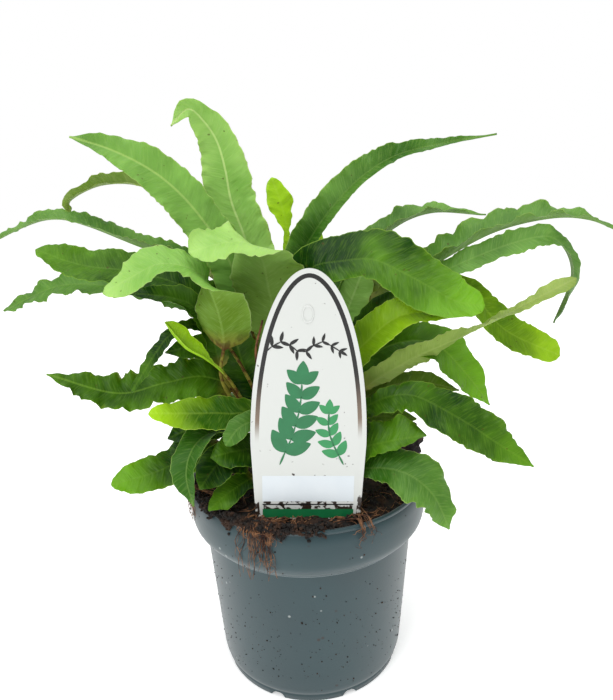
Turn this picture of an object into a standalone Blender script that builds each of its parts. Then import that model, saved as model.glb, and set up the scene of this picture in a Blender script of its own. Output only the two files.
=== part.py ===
"""Hart's tongue fern growing in a round plastic nursery pot.

Metres, +Z up. The origin is on the floor under the pot's axis, and -Y is the front, where the label stands.
Every frond is one solid: a stalk that rises from the crown and flattens into a strap-shaped blade.
"""
import math

import bmesh
import bpy
from mathutils import Matrix, Vector

MM = 0.001
GAP = 0.3

# Pot, a 12 cm nursery pot at its lip, in millimetres
POT_HEIGHT = 107.0
RIM_RADIUS = 61.5
COLLAR_BOTTOM = 80.0
# Radius and height of the rounded collar's outside, from the body's top up to the lip
COLLAR_CURVE = [(57.0, 81.2), (59.5, 83.5), (61.4, 86.5), (62.1, 90.0), (62.3, 95.0), (62.0, 100.0)]
COLLAR_RADIUS = 62.3
BODY_TOP_RADIUS = 55.4
BODY_BOTTOM = 7.0
BODY_BOTTOM_RADIUS = 50.0
FOOT_RADIUS = 48.2
FOOT_WIDTH = 3.0
PAD_RADIUS = 22.0
CHANNEL_HEIGHT = 3.0
WALL = 1.1
TURN_STEPS = 40
NOTCH_COUNT = 8
NOTCH_RADIUS = 4.0

# Peat and crown, in millimetres
PEAT_EDGE_HEIGHT = 103.4
PEAT_TOP = 105.0
CROWN_RADIUS = 25.0
CROWN_TOP = 112.0
CROWN_TOP_RADIUS = 23.0

# Label, in millimetres
LABEL_Y = -47.0
LABEL_THICKNESS = 0.8
LABEL_HALF_WIDTH = 26.0
LABEL_ARCH_HEIGHT = 79.4
LABEL_ARCH_FOOT = 143.0
LABEL_NECK = (24.3, 108.0)
LABEL_POINT = (5.0, 62.0)
LABEL_LEAN = math.radians(2.0)
ARCH_POINTS = 16

# Fronds, in millimetres
STIPE_RADIUS = 1.1
BLADE_HALF_THICKNESS = 0.32
MIDRIB_HALF_THICKNESS = 0.6
RING_SIDES = 8
RING_SPACING = 14.0
FAR_STALK_SHARE = 0.30
FAR_TIP_SHARE = 0.50

GREENS = {
    "pale": (0.22, 0.43, 0.13),
    "mid": (0.12, 0.33, 0.05),
    "dark": (0.04, 0.19, 0.02),
    "olive": (0.17, 0.25, 0.06),
    "lime": (0.38, 0.66, 0.05),
}

# Each frond: name, blade width, stalk's share of the length, share of the blade where the tip starts to narrow,
# green, the line of its midrib (first x and y on the crown, then x, y, z),
# and the direction of its upper face from stalk to tip.
FRONDS = [
    ("frond_tall_upright", 27, 0.30, 0.60, "pale",
     [(-5, 7), (-20, 9, 182), (-26, 10, 224), (-33, 12, 247), (-35, 12, 262), (-38, 12, 275), (-43, 10, 284),
      (-50, 7, 290), (-59, 9, 283)], [(0, -1, 0)]),
    ("frond_left_blade", 20, 0.42, 0.45, "mid",
     [(-9, 1), (-29, -1, 198), (-35, -5, 223), (-43, -9, 238), (-53, -12, 252), (-65, -14, 263), (-81, -16, 272),
      (-98, -18, 278)],
     [(0, -1, 0.5)]),
    ("frond_curled_over", 36, 0.35, 0.60, "pale",
     [(-4, -5), (-11, -11, 180), (-15, -16, 208), (-17, -21, 223), (-22, -28, 231), (-33, -34, 232),
      (-47, -38, 229)], [(0, 1, 0), (0, 1, 0), (0, 1, 0.2), (0, -0.1, 1), (0, -0.8, 1)]),
    ("frond_left_folded", 23, 0.50, 0.60, "pale",
     [(-12, -8), (-32, -17, 148), (-39, -24, 168), (-36, -29, 187), (-38, -33, 206), (-44, -37, 220),
      (-58, -41, 225), (-71, -44, 220), (-83, -45, 214)],
     [(0.3, 1, 0), (0.3, 1, 0), (0.2, 1, 0.3), (0, -0.4, 1), (-0.2, -0.8, 1)]),
    ("frond_left_rolled_dark", 14, 0.50, 0.50, "dark",
     [(-15, -3), (-31, -10, 148), (-40, -16, 168), (-43, -19, 188), (-49, -21, 201), (-60, -23, 207),
      (-81, -28, 211)], [(0.6, -0.6, 0.4), (0, -0.8, 1)]),
    ("frond_left_middle", 17, 0.40, 0.60, "dark",
     [(-12, 2), (-31, -3, 184), (-53, -8, 207), (-76, -12, 217), (-101, -16, 222), (-120, -18, 230)],
     [(0, -0.7, 1)]),
    ("frond_left_scalloped", 17, 0.38, 0.45, "mid",
     [(-14, 6), (-32, 4, 172), (-46, 5, 189), (-66, 6, 201), (-90, 6, 207), (-120, 5, 209), (-149, 2, 198)],
     [(0, -0.6, 1)]),
    ("frond_left_long_arch", 15, 0.42, 0.50, "mid",
     [(-9, 11), (-27, 14, 185), (-52, 18, 215), (-82, 20, 227), (-107, 20, 238), (-123, 18, 242),
      (-140, 17, 238), (-165, 13, 226)], [(0.4, -0.4, 1), (0, -0.3, 1)]),
    ("frond_small_arch", 10, 0.55, 0.50, "olive",
     [(-8, 14), (-22, 19, 165), (-33, 25, 200), (-43, 28, 220), (-56, 28, 240), (-78, 27, 255),
      (-100, 29, 257), (-118, 30, 250), (-120, 30, 243)], [(0, -0.6, 1)]),
    ("frond_left_low_wavy", 20, 0.36, 0.50, "dark",
     [(-17, 1), (-30, -6, 150), (-48, -11, 164), (-68, -15, 163), (-90, -22, 161), (-119, -29, 174)],
     [(0, -0.8, 1)]),
    ("frond_left_narrow_strap", 9, 0.55, 0.60, "dark",
     [(-11, -5), (-24, -12, 154), (-33, -13, 175), (-43, -12, 188), (-52, -19, 193), (-58, -28, 192),
      (-64, -32, 187), (-79, -35, 166)], [(0.2, -1, 0.4), (-0.4, -1, 0.5)]),
    ("frond_left_low_dark", 12, 0.50, 0.60, "dark",
     [(-17, 5), (-32, 2, 158), (-42, -2, 174), (-54, -8, 179), (-67, -13, 178)], [(0, -0.8, 0.8)]),
    ("frond_young_rolled", 12, 0.64, 0.75, "lime",
     [(-13, -12), (-28, -21, 151), (-36, -30, 171), (-44, -37, 182), (-52, -40, 189), (-59, -41, 200)],
     [(0.5, -0.5, 0.6)]),
    ("frond_left_lime", 14, 0.35, 0.55, "lime",
     [(-11, -16), (-22, -27, 147), (-36, -35, 154), (-50, -41, 157), (-69, -47, 160)], [(0, -0.8, 1)]),
    ("frond_left_low_green", 20, 0.38, 0.55, "dark",
     [(-21, -1), (-33, -7, 127), (-52, -20, 129), (-72, -32, 124), (-92, -40, 122)], [(-0.1, -0.9, 1)]),
    ("frond_left_drooping", 14, 0.42, 0.55, "mid",
     [(-20, -8), (-30, -18, 137), (-42, -31, 144), (-50, -45, 143), (-53, -54, 134), (-50, -60, 121)],
     [(0, -0.7, 1), (-0.6, -0.9, 0.5)]),
    ("frond_left_dark_pocket", 13, 0.45, 0.60, "dark",
     [(-21, 3), (-31, -4, 138), (-48, -15, 142), (-67, -25, 138)], [(0, -0.8, 0.8)]),
    ("frond_left_dark_front", 16, 0.45, 0.60, "dark",
     [(-15, -14), (-27, -25, 127), (-40, -35, 130), (-50, -43, 120)], [(-0.2, -0.9, 0.8)]),
    ("frond_left_front_small", 12, 0.50, 0.60, "mid",
     [(-2, -20), (-13, -30, 141), (-22, -38, 151), (-30, -43, 150), (-36, -46, 143)], [(-0.2, -0.9, 0.6)]),
    ("frond_left_front_low", 13, 0.45, 0.70, "dark",
     [(-5, -17), (-18, -28, 132), (-31, -39, 137), (-43, -47, 138)], [(-0.1, -0.9, 0.8)]),
    ("frond_left_low_droop", 11, 0.45, 0.60, "dark",
     [(-10, -19), (-22, -29, 119), (-35, -39, 117), (-46, -47, 111)], [(-0.2, -0.8, 1)]),
    ("frond_left_dark_upright", 16, 0.42, 0.70, "dark",
     [(-8, -3), (-20, -7, 140), (-28, -9, 162), (-32, -9, 178), (-34, -9, 191)], [(0.1, -1, 0.1)]),
    ("frond_young_twisted", 11, 0.45, 0.60, "lime",
     [(-1, 9), (-6, 15, 188), (-6, 16, 222), (-8, 16, 242), (-13, 17, 258)],
     [(0, -1, 0), (0, -1, 0), (1, -0.6, 0), (0, -1, 0)]),
    ("frond_young_small", 7, 0.60, 0.60, "lime",
     [(3, 10), (4, 12, 190), (7, 13, 214), (11, 13, 230)], [(0, -1, 0)]),
    ("frond_right_upper_long", 16, 0.32, 0.40, "mid",
     [(1, 3), (-4, 5, 188), (-4, 4, 218), (4, 0, 236), (22, -6, 257), (42, -9, 269), (66, -10, 273),
      (89, -12, 274)], [(0.4, -1, 0), (0, -1, 0.3)]),
    ("frond_right_second", 14, 0.42, 0.50, "mid",
     [(7, 12), (14, 17, 180), (23, 19, 208), (44, 21, 230), (67, 24, 239), (97, 26, 236)], [(0, -0.4, 1)]),
    ("frond_right_long", 17, 0.38, 0.50, "mid",
     [(11, 7), (19, 10, 172), (37, 12, 197), (64, 12, 214), (95, 14, 230), (124, 15, 236), (146, 15, 234),
      (165, 13, 225)], [(0, -0.5, 1)]),
    ("frond_right_hooked", 14, 0.40, 0.75, "mid",
     [(12, 2), (20, 0, 170), (44, 0, 197), (74, 0, 213), (107, 0, 225), (124, -1, 225), (132, -3, 209),
      (124, -6, 185)], [(0, -0.4, 1), (0, -0.4, 1), (0, -0.4, 1), (0.9, -0.5, 0.6), (1, -0.6, 0)]),
    ("frond_right_pale_straight", 13, 0.30, 0.50, "olive",
     [(11, -10), (22, -19, 152), (46, -24, 172), (70, -26, 184), (92, -26, 194), (109, -24, 202),
      (126, -22, 210)], [(0, 1, 0.4), (0, 1, 0.4), (0, 1, 0.4), (0, 0.2, 1), (0, -0.8, 1)]),
    ("frond_right_broad", 29, 0.38, 0.75, "dark",
     [(3, -7), (0, -9, 191), (1, -12, 209), (6, -17, 218), (18, -22, 221), (32, -26, 222), (44, -30, 217),
      (57, -34, 210), (68, -37, 204), (80, -38, 202)], [(0.3, -0.9, 0.3), (0, -0.9, 1)]),
    ("frond_right_lime_under", 20, 0.38, 0.45, "lime",
     [(8, -14), (15, -19, 153), (22, -24, 174), (31, -28, 186), (39, -31, 194), (47, -33, 198), (59, -35, 199),
      (72, -37, 198)],
     [(0, -0.9, 1)]),
    ("frond_right_dark_under", 18, 0.32, 0.60, "dark",
     [(13, -5), (22, -11, 158), (36, -14, 175), (52, -16, 181), (66, -15, 177), (80, -14, 162), (92, -14, 146)],
     [(0, -0.8, 1), (0, -0.8, 1), (0.5, -0.9, 0.7)]),
    ("frond_right_lime_hanging", 19, 0.40, 0.80, "lime",
     [(16, 4), (27, 5, 158), (44, 6, 182), (64, 8, 199), (86, 8, 197), (104, 4, 179), (131, 0, 166)],
     [(0, -0.8, 1), (0.2, -1, 0.8)]),
    ("frond_right_broad_low", 22, 0.28, 0.50, "dark",
     [(13, -14), (20, -24, 142), (33, -31, 156), (49, -37, 161), (70, -42, 151), (88, -46, 139),
      (103, -48, 129)], [(0.1, -1, 0.8)]),
    ("frond_right_grey_curled", 14, 0.40, 0.50, "olive",
     [(18, -3), (28, -9, 146), (44, -12, 157), (62, -14, 158), (76, -16, 155)], [(0, -0.8, 1)]),
    ("frond_right_low_front", 19, 0.38, 0.70, "dark",
     [(9, -20), (15, -30, 130), (29, -40, 138), (42, -45, 143), (54, -48, 146)], [(0, -0.9, 1)]),
    ("frond_right_drooping", 21, 0.30, 0.60, "mid",
     [(3, -21), (12, -32, 118), (28, -41, 127), (44, -48, 128), (56, -54, 120), (63, -59, 105)],
     [(0.1, -0.8, 1), (0.7, -0.9, 0.6)]),
    ("frond_right_pale_behind_label", 18, 0.40, 0.80, "pale",
     [(5, 1), (12, 5, 165), (22, 9, 188), (32, 12, 212)], [(-0.2, -1, 0)]),
    ("frond_right_dark_rolled", 10, 0.45, 0.60, "dark",
     [(9, -3), (16, -6, 166), (27, -8, 186), (39, -11, 199), (52, -12, 205)], [(0, -0.8, 1)]),
    ("frond_right_dark_small", 10, 0.50, 0.60, "dark",
     [(17, -8), (24, -7, 155), (34, -7, 164), (48, -8, 171)], [(0, -0.8, 1)]),
    ("frond_right_under_grey", 12, 0.45, 0.60, "olive",
     [(18, -10), (25, -19, 141), (36, -25, 146), (53, -29, 146)], [(0, -0.8, 1)]),
]

# Fronds on the far side: name, direction in degrees, root radius, top height, reach, tip height, width, green
FAR_FRONDS = [
    ("frond_back_1", 92, 20, 160, 104, 130, 20, "mid"),
    ("frond_back_2", 68, 20, 146, 86, 118, 20, "dark"),
    ("frond_back_3", 116, 20, 150, 90, 120, 20, "dark"),
    ("frond_back_4", 78, 17, 200, 94, 176, 20, "mid"),
    ("frond_back_5", 104, 19, 182, 84, 168, 18, "dark"),
    ("frond_back_6", 52, 17, 186, 80, 178, 18, "mid"),
    ("frond_back_7", 128, 21, 158, 68, 150, 18, "mid"),
    ("frond_back_8", 42, 21, 142, 66, 124, 18, "dark"),
    ("frond_back_9", 145, 21, 140, 66, 118, 18, "dark"),
    ("frond_back_10", 96, 12, 212, 60, 204, 18, "mid"),
]


def start():
    """Empty the scene and give back the collections for the parts and the cutters."""
    for thing in list(bpy.data.objects):
        bpy.data.objects.remove(thing)
    parts = bpy.data.collections.new("harts_tongue_fern")
    cutters = bpy.data.collections.new("cutters")
    bpy.context.scene.collection.children.link(parts)
    bpy.context.scene.collection.children.link(cutters)
    return parts, cutters


def finish_material(name, color, roughness):
    """One Principled material, named for its sub-part."""
    material = bpy.data.materials.new(name)
    material.use_nodes = True
    shader = material.node_tree.nodes["Principled BSDF"]
    shader.inputs["Base Color"].default_value = (*color, 1.0)
    shader.inputs["Roughness"].default_value = roughness
    shader.inputs["Metallic"].default_value = 0.0
    return material


def add_mesh(name, bm, collection, color, roughness):
    """Turn a bmesh whose numbers are millimetres into a named object in metres."""
    bmesh.ops.scale(bm, vec=(MM, MM, MM), verts=bm.verts)
    mesh = bpy.data.meshes.new(name)
    bm.to_mesh(mesh)
    bm.free()
    mesh.shade_smooth()
    mesh.set_sharp_from_angle(angle=math.radians(40))
    thing = bpy.data.objects.new(name, mesh)
    collection.objects.link(thing)
    if color is not None:
        mesh.materials.append(finish_material(name, color, roughness))
    return thing


def turned(name, profile, collection, color, roughness):
    """A body of revolution: the profile runs down its outer side and starts and ends on the axis."""
    bm = bmesh.new()
    verts = [bm.verts.new((radius, 0.0, height)) for radius, height in profile]
    for first, second in zip(verts, verts[1:]):
        bm.edges.new((first, second))
    thing = add_mesh(name, bm, collection, color, roughness)
    screw = thing.modifiers.new("turn", "SCREW")
    screw.steps = TURN_STEPS
    screw.render_steps = TURN_STEPS
    screw.use_merge_vertices = True
    screw.merge_threshold = 0.00001
    return thing


def cut(thing, cutter):
    """Take a cutter's volume out of a body."""
    cutter.hide_render = True
    cutter.display_type = "WIRE"
    boolean = thing.modifiers.new("cut", "BOOLEAN")
    boolean.operation = "DIFFERENCE"
    boolean.object = cutter


def inner_radius(height):
    """Radius of the pot's inner wall below the collar."""
    share = (height - BODY_BOTTOM) / (COLLAR_BOTTOM - BODY_BOTTOM)
    return BODY_BOTTOM_RADIUS + share * (BODY_TOP_RADIUS - BODY_BOTTOM_RADIUS) - WALL


def pot_inside():
    """The pot's inner wall, from the floor's centre to the rim."""
    return [
        (0.0, WALL),
        (PAD_RADIUS - 1.0, WALL),
        (PAD_RADIUS - 0.6, CHANNEL_HEIGHT + WALL),
        (BODY_BOTTOM_RADIUS - 3.2, CHANNEL_HEIGHT + WALL),
        (inner_radius(BODY_BOTTOM), BODY_BOTTOM),
        (inner_radius(COLLAR_BOTTOM), COLLAR_BOTTOM + 0.3),
        *[(radius - WALL, height + WALL) for radius, height in COLLAR_CURVE],
        (RIM_RADIUS - 1.7, POT_HEIGHT - 0.5),
    ]


def make_pot(parts, cutters):
    """Moulded pot: lip, rounded collar wider than the body, taper, foot ring with notches, flat centre pad."""
    outside = [
        (RIM_RADIUS - 1.3, POT_HEIGHT),
        (RIM_RADIUS - 0.4, POT_HEIGHT),
        (RIM_RADIUS, POT_HEIGHT - 0.5),
        (RIM_RADIUS, POT_HEIGHT - 1.4),
        (RIM_RADIUS - 0.6, POT_HEIGHT - 2.0),
        *reversed(COLLAR_CURVE),
        (BODY_TOP_RADIUS, COLLAR_BOTTOM - 0.4),
        (BODY_BOTTOM_RADIUS, BODY_BOTTOM),
        (BODY_BOTTOM_RADIUS - 0.9, BODY_BOTTOM - 2.4),
        (FOOT_RADIUS + 0.8, BODY_BOTTOM - 3.4),
        (FOOT_RADIUS, BODY_BOTTOM - 3.6),
        (FOOT_RADIUS, 0.4),
        (FOOT_RADIUS - 0.4, 0.0),
        (FOOT_RADIUS - FOOT_WIDTH + 0.4, 0.0),
        (FOOT_RADIUS - FOOT_WIDTH, CHANNEL_HEIGHT),
        (PAD_RADIUS + 0.6, CHANNEL_HEIGHT),
        (PAD_RADIUS, 0.0),
        (0.0, 0.0),
    ]
    pot = turned("pot", pot_inside() + outside, parts, (0.072, 0.105, 0.115), 0.42)
    bm = bmesh.new()
    for index in range(NOTCH_COUNT):
        angle = math.tau * (index + 0.5) / NOTCH_COUNT
        place = (Matrix.Rotation(angle, 4, "Z")
                 @ Matrix.Translation((FOOT_RADIUS - 1.5, 0.0, -1.0))
                 @ Matrix.Rotation(math.radians(90), 4, "Y"))
        bmesh.ops.create_cone(bm, cap_ends=True, segments=12, radius1=NOTCH_RADIUS, radius2=NOTCH_RADIUS,
                              depth=9.0, matrix=place)
    notches = add_mesh("notch_cutter", bm, cutters, None, None)
    cut(pot, notches)
    return pot


def label_outline(margin):
    """Arch-topped outline of the label with a pointed stake, in x and z, grown by a margin."""
    neck_half, neck_height = LABEL_NECK
    point_half, point_height = LABEL_POINT
    right = [(point_half + margin, point_height - margin), (neck_half + margin, neck_height)]
    arch = []
    for step in range(ARCH_POINTS + 1):
        angle = math.pi * step / ARCH_POINTS
        arch.append(((LABEL_HALF_WIDTH + margin) * math.cos(angle),
                     LABEL_ARCH_FOOT + (LABEL_ARCH_HEIGHT + margin) * math.sin(angle)))
    left = [(-x, z) for x, z in reversed(right)]
    return right + arch + left


def label_plate(name, margin, collection, color, roughness):
    """The label's outline as a flat curve, filled and extruded, then made a mesh."""
    curve = bpy.data.curves.new(name, "CURVE")
    curve.dimensions = "2D"
    curve.fill_mode = "BOTH"
    curve.extrude = (LABEL_THICKNESS / 2 + margin) * MM
    spline = curve.splines.new("POLY")
    points = label_outline(margin)
    spline.points.add(len(points) - 1)
    for point, (x, z) in zip(spline.points, points):
        point.co = (x * MM, (z - LABEL_NECK[1]) * MM, 0.0, 1.0)
    spline.use_cyclic_u = True
    flat = bpy.data.objects.new(name + "_curve", curve)
    flat.matrix_world = (Matrix.Translation((0.0, LABEL_Y * MM, LABEL_NECK[1] * MM))
                         @ Matrix.Rotation(LABEL_LEAN, 4, "Y")
                         @ Matrix.Rotation(math.radians(90), 4, "X"))
    collection.objects.link(flat)
    bpy.context.view_layer.update()
    evaluated = flat.evaluated_get(bpy.context.evaluated_depsgraph_get())
    mesh = bpy.data.meshes.new_from_object(evaluated)
    bm = bmesh.new()
    bm.from_mesh(mesh)
    bmesh.ops.remove_doubles(bm, verts=bm.verts, dist=0.00001)
    bm.to_mesh(mesh)
    bm.free()
    mesh.name = name
    plate = bpy.data.objects.new(name, mesh)
    plate.matrix_world = flat.matrix_world
    collection.objects.link(plate)
    bpy.data.objects.remove(flat)
    mesh.materials.clear()
    if color is not None:
        mesh.materials.append(finish_material(name, color, roughness))
    return plate


def make_root_ball(parts, cutters):
    """Peat that fills the pot, GAP clear of it, with a pocket for the label's stake."""
    inside = pot_inside()
    wall = [(max(radius - GAP, 0.0), height + GAP) for radius, height in inside[:-1]]
    collar_top, rim = inside[-2:]
    edge_share = (PEAT_EDGE_HEIGHT - collar_top[1]) / (rim[1] - collar_top[1])
    edge_radius = collar_top[0] + edge_share * (rim[0] - collar_top[0]) - GAP
    top = [(edge_radius, PEAT_EDGE_HEIGHT), (edge_radius - 4.0, PEAT_EDGE_HEIGHT + 0.9),
           (CROWN_RADIUS + 5.0, PEAT_TOP), (0.0, PEAT_TOP)]
    profile = list(reversed(top)) + list(reversed(wall))
    ball = turned("root_ball", profile, parts, (0.028, 0.016, 0.010), 0.95)
    pocket = label_plate("label_pocket_cutter", GAP, cutters, None, None)
    cut(ball, pocket)
    return ball


def make_crown(parts):
    """Short upright rhizome: a low mound with a flat top that the stalks stand on."""
    foot = PEAT_TOP + GAP
    profile = [
        (0.0, CROWN_TOP),
        (CROWN_TOP_RADIUS, CROWN_TOP),
        (CROWN_RADIUS, CROWN_TOP - 2.5),
        (CROWN_RADIUS - 0.5, foot + 1.0),
        (CROWN_RADIUS - 1.5, foot),
        (0.0, foot),
    ]
    return turned("crown", profile, parts, (0.09, 0.045, 0.02), 0.9)


def smooth_line(points, count):
    """Catmull-Rom curve through the points, read at a given count of even steps along its length."""
    first = points[0] * 2 - points[1]
    first.xy = points[0].xy
    guides = [first] + points + [points[-1] * 2 - points[-2]]
    fine = []
    for index in range(len(points) - 1):
        before, start_point, end_point, after = guides[index:index + 4]
        for step in range(12):
            t = step / 12
            fine.append(0.5 * ((2 * start_point) + (end_point - before) * t
                               + (2 * before - 5 * start_point + 4 * end_point - after) * t ** 2
                               + (3 * start_point - before - 3 * end_point + after) * t ** 3))
    fine.append(points[-1])
    lengths = [0.0]
    for here, there in zip(fine, fine[1:]):
        lengths.append(lengths[-1] + (there - here).length)
    line = []
    segment = 0
    for step in range(count):
        target = lengths[-1] * step / (count - 1)
        while segment < len(fine) - 2 and lengths[segment + 1] < target:
            segment += 1
        span = lengths[segment + 1] - lengths[segment]
        line.append(fine[segment].lerp(fine[segment + 1], (target - lengths[segment]) / span))
    return line


def between(values, share):
    """The value at a share of the way along an evenly spaced list."""
    if len(values) == 1:
        return Vector(values[0])
    place = min(max(share, 0.0), 0.9999) * (len(values) - 1)
    index = int(place)
    return Vector(values[index]).lerp(Vector(values[index + 1]), place - index)


def blade_share(share, stalk_share, tip_share):
    """Half width of the strap-shaped blade as a share of its widest, from stalk to tip."""
    along = (share - stalk_share) / (1.0 - stalk_share)
    if along <= 0.0:
        return 0.0
    base = min(1.0, along / 0.16)
    rise = math.sqrt(1.0 - (1.0 - base) ** 2)
    tip = max(0.0, (along - tip_share) / (1.0 - tip_share))
    return rise * (1.0 - tip ** 2.2)


def rough_length(points):
    """Length of the straight lines through the points, in millimetres."""
    return sum((there - here).length for here, there in zip(points, points[1:]))


def make_frond(name, width, stalk_share, tip_share, green, route, faces, parts):
    """One frond: a closed tube of rings that starts round on the crown and flattens into the blade."""
    root = Vector((route[0][0], route[0][1], CROWN_TOP + GAP))
    points = [root] + [Vector(point) for point in route[1:]]
    rings = max(8, round(rough_length(points) / RING_SPACING) + 2)
    line = smooth_line(points, rings)
    bm = bmesh.new()
    bmesh.ops.create_cone(bm, cap_ends=True, segments=RING_SIDES, radius1=1.0, radius2=1.0, depth=1.0)
    long_edges = [edge for edge in bm.edges if abs(edge.verts[0].co.z - edge.verts[1].co.z) > 0.5]
    bmesh.ops.subdivide_edges(bm, edges=long_edges, cuts=rings - 2, use_grid_fill=True)
    for vert in bm.verts:
        share = vert.co.z + 0.5
        ring = round(share * (rings - 1))
        here = line[ring]
        ahead = line[min(ring + 1, rings - 1)] - line[max(ring - 1, 0)]
        if ring == 0:
            ahead = Vector((0.0, 0.0, 1.0))
        ahead.normalize()
        upper = between(faces, share)
        upper -= ahead * upper.dot(ahead)
        upper.normalize()
        across = upper.cross(ahead)
        broad = blade_share(share, stalk_share, tip_share)
        half_width = max(STIPE_RADIUS * (1.0 - 0.6 * share), broad * width / 2)
        is_middle = abs(vert.co.x) < 0.3
        stalk_half = STIPE_RADIUS * (1.0 - 0.6 * share)
        blade_half = MIDRIB_HALF_THICKNESS if is_middle else BLADE_HALF_THICKNESS
        flat = min(1.0, broad * 4.0)
        half_thickness = stalk_half * (1.0 - flat) + min(blade_half, stalk_half) * flat
        vert.co = here + across * (vert.co.x * half_width) + upper * (vert.co.y * half_thickness)
    bmesh.ops.triangulate(bm, faces=bm.faces)
    add_mesh(name, bm, parts, GREENS[green], 0.35)


def far_route(direction, root_radius, top_height, reach, tip_height):
    """Route of an arching frond in one upright plane through the crown."""
    outward = Vector((math.cos(math.radians(direction)), math.sin(math.radians(direction)), 0.0))
    steps = [(root_radius + 0.10 * (reach - root_radius), 0.55), (root_radius + 0.38 * (reach - root_radius), 0.92),
             (root_radius + 0.68 * (reach - root_radius), 1.0)]
    rise = top_height - CROWN_TOP
    route = [tuple((outward * root_radius).xy)]
    for radius, share in steps:
        route.append(tuple(outward * radius + Vector((0.0, 0.0, CROWN_TOP + rise * share))))
    route.append(tuple(outward * reach + Vector((0.0, 0.0, tip_height))))
    inward = -outward
    faces = [tuple(inward + Vector((0, 0, 0.3))), tuple(inward * 0.3 + Vector((0, 0, 1))), (0, 0, 1),
             tuple(outward * 0.5 + Vector((0, 0, 1)))]
    return route, faces


def make_tube(name, points, radius, parts, color):
    """A round root or stalk along a few points, with filled ends."""
    curve = bpy.data.curves.new(name, "CURVE")
    curve.dimensions = "3D"
    curve.bevel_depth = radius * MM
    curve.bevel_resolution = 1
    curve.use_fill_caps = True
    spline = curve.splines.new("POLY")
    spline.points.add(len(points) - 1)
    for point, place in zip(spline.points, points):
        point.co = (place[0] * MM, place[1] * MM, place[2] * MM, 1.0)
    curve.materials.append(finish_material(name, color, 0.9))
    tube = bpy.data.objects.new(name, curve)
    parts.objects.link(tube)
    return tube


def rim_tuft(name, direction, drop, radius, parts):
    """Root fibres that lie on the peat, cross the lip and hang outside the collar."""
    outward = (math.cos(math.radians(direction)), math.sin(math.radians(direction)))
    clear = radius + GAP
    profile = [(54.0, PEAT_EDGE_HEIGHT + 0.7 + clear), (RIM_RADIUS - 3.2, POT_HEIGHT + 0.1 + clear),
               (RIM_RADIUS - 0.6, POT_HEIGHT + 0.5 + clear), (RIM_RADIUS + 0.9 + clear, POT_HEIGHT - 0.6),
               (COLLAR_RADIUS + 0.4 + clear, POT_HEIGHT - 0.5 * drop),
               (COLLAR_RADIUS + 0.2 + clear, POT_HEIGHT - drop)]
    points = [(outward[0] * reach, outward[1] * reach, height) for reach, height in profile]
    return make_tube(name, points, radius, parts, (0.16, 0.07, 0.03))


def make_peat_lump(parts):
    """Clump of peat that stands on the root ball at the right and leans over the lip."""
    bm = bmesh.new()
    bmesh.ops.create_icosphere(bm, subdivisions=2, radius=1.0)
    foot = POT_HEIGHT + GAP + 0.2
    for vert in bm.verts:
        bump = 1.0 + 0.10 * math.sin(7.0 * vert.co.x + 2.0) * math.cos(6.0 * vert.co.y + 9.0 * vert.co.z)
        vert.co = Vector((50.0 + 14.0 * vert.co.x * bump, 15.0 + 10.0 * vert.co.y * bump,
                          115.0 + 11.5 * vert.co.z * bump))
        inside = vert.co.xy.length < RIM_RADIUS - 4.0
        floor = PEAT_TOP + GAP if inside else foot
        vert.co.z = max(vert.co.z, floor)
    add_mesh("peat_lump", bm, parts, (0.02, 0.011, 0.007), 0.95)


def main():
    """Make every sub-part."""
    parts, cutters = start()
    make_pot(parts, cutters)
    make_root_ball(parts, cutters)
    make_crown(parts)
    label_plate("plant_label", 0.0, parts, (0.85, 0.86, 0.85), 0.35)
    make_peat_lump(parts)
    make_tube("old_stipe", [(-7, -14, CROWN_TOP + GAP), (-10, -18, 130), (-17, -22, 155), (-22, -25, 178),
                            (-18, -27, 196)], 1.0, parts, (0.10, 0.05, 0.02))
    rim_tuft("root_tuft_front_left", 248, 22, 1.6, parts)
    rim_tuft("root_tuft_left", 205, 14, 1.4, parts)
    rim_tuft("root_tuft_front", 293, 10, 1.3, parts)
    for name, width, stalk_share, tip_share, green, route, faces in FRONDS:
        make_frond(name, width, stalk_share, tip_share, green, route, faces, parts)
    for name, direction, root_radius, top_height, reach, tip_height, width, green in FAR_FRONDS:
        route, faces = far_route(direction, root_radius, top_height, reach, tip_height)
        make_frond(name, width, FAR_STALK_SHARE, FAR_TIP_SHARE, green, route, faces, parts)


main()
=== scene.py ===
"""Looks of a hart's tongue fern in its nursery pot.

Sizes are millimetres, and each mesh becomes metres as it is kept. -Y is the front, where the label stands.
"""

import math
import random
from dataclasses import dataclass

import bmesh
import bpy
from mathutils import Matrix, Vector, noise


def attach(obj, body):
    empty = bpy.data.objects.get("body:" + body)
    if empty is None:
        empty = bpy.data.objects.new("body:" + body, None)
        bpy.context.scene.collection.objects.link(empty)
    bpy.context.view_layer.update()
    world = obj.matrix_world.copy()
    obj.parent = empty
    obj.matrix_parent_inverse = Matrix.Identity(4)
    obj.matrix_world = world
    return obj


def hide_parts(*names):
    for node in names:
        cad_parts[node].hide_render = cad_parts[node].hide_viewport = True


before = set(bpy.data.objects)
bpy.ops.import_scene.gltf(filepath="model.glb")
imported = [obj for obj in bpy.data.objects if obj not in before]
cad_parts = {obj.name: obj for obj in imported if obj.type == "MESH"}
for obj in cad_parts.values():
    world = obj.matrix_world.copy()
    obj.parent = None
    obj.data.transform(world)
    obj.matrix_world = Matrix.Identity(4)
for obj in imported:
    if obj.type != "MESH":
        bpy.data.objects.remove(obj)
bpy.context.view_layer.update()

MM = 0.001
NEAR_ZERO = 1e-6
# Points worked out for each stretch of a smooth line
CURVE_STEPS = 24

# Pot, as in the CAD
POT_HEIGHT = 107.0
RIM_RADIUS = 61.5
COLLAR_BOTTOM = 80.0
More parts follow.
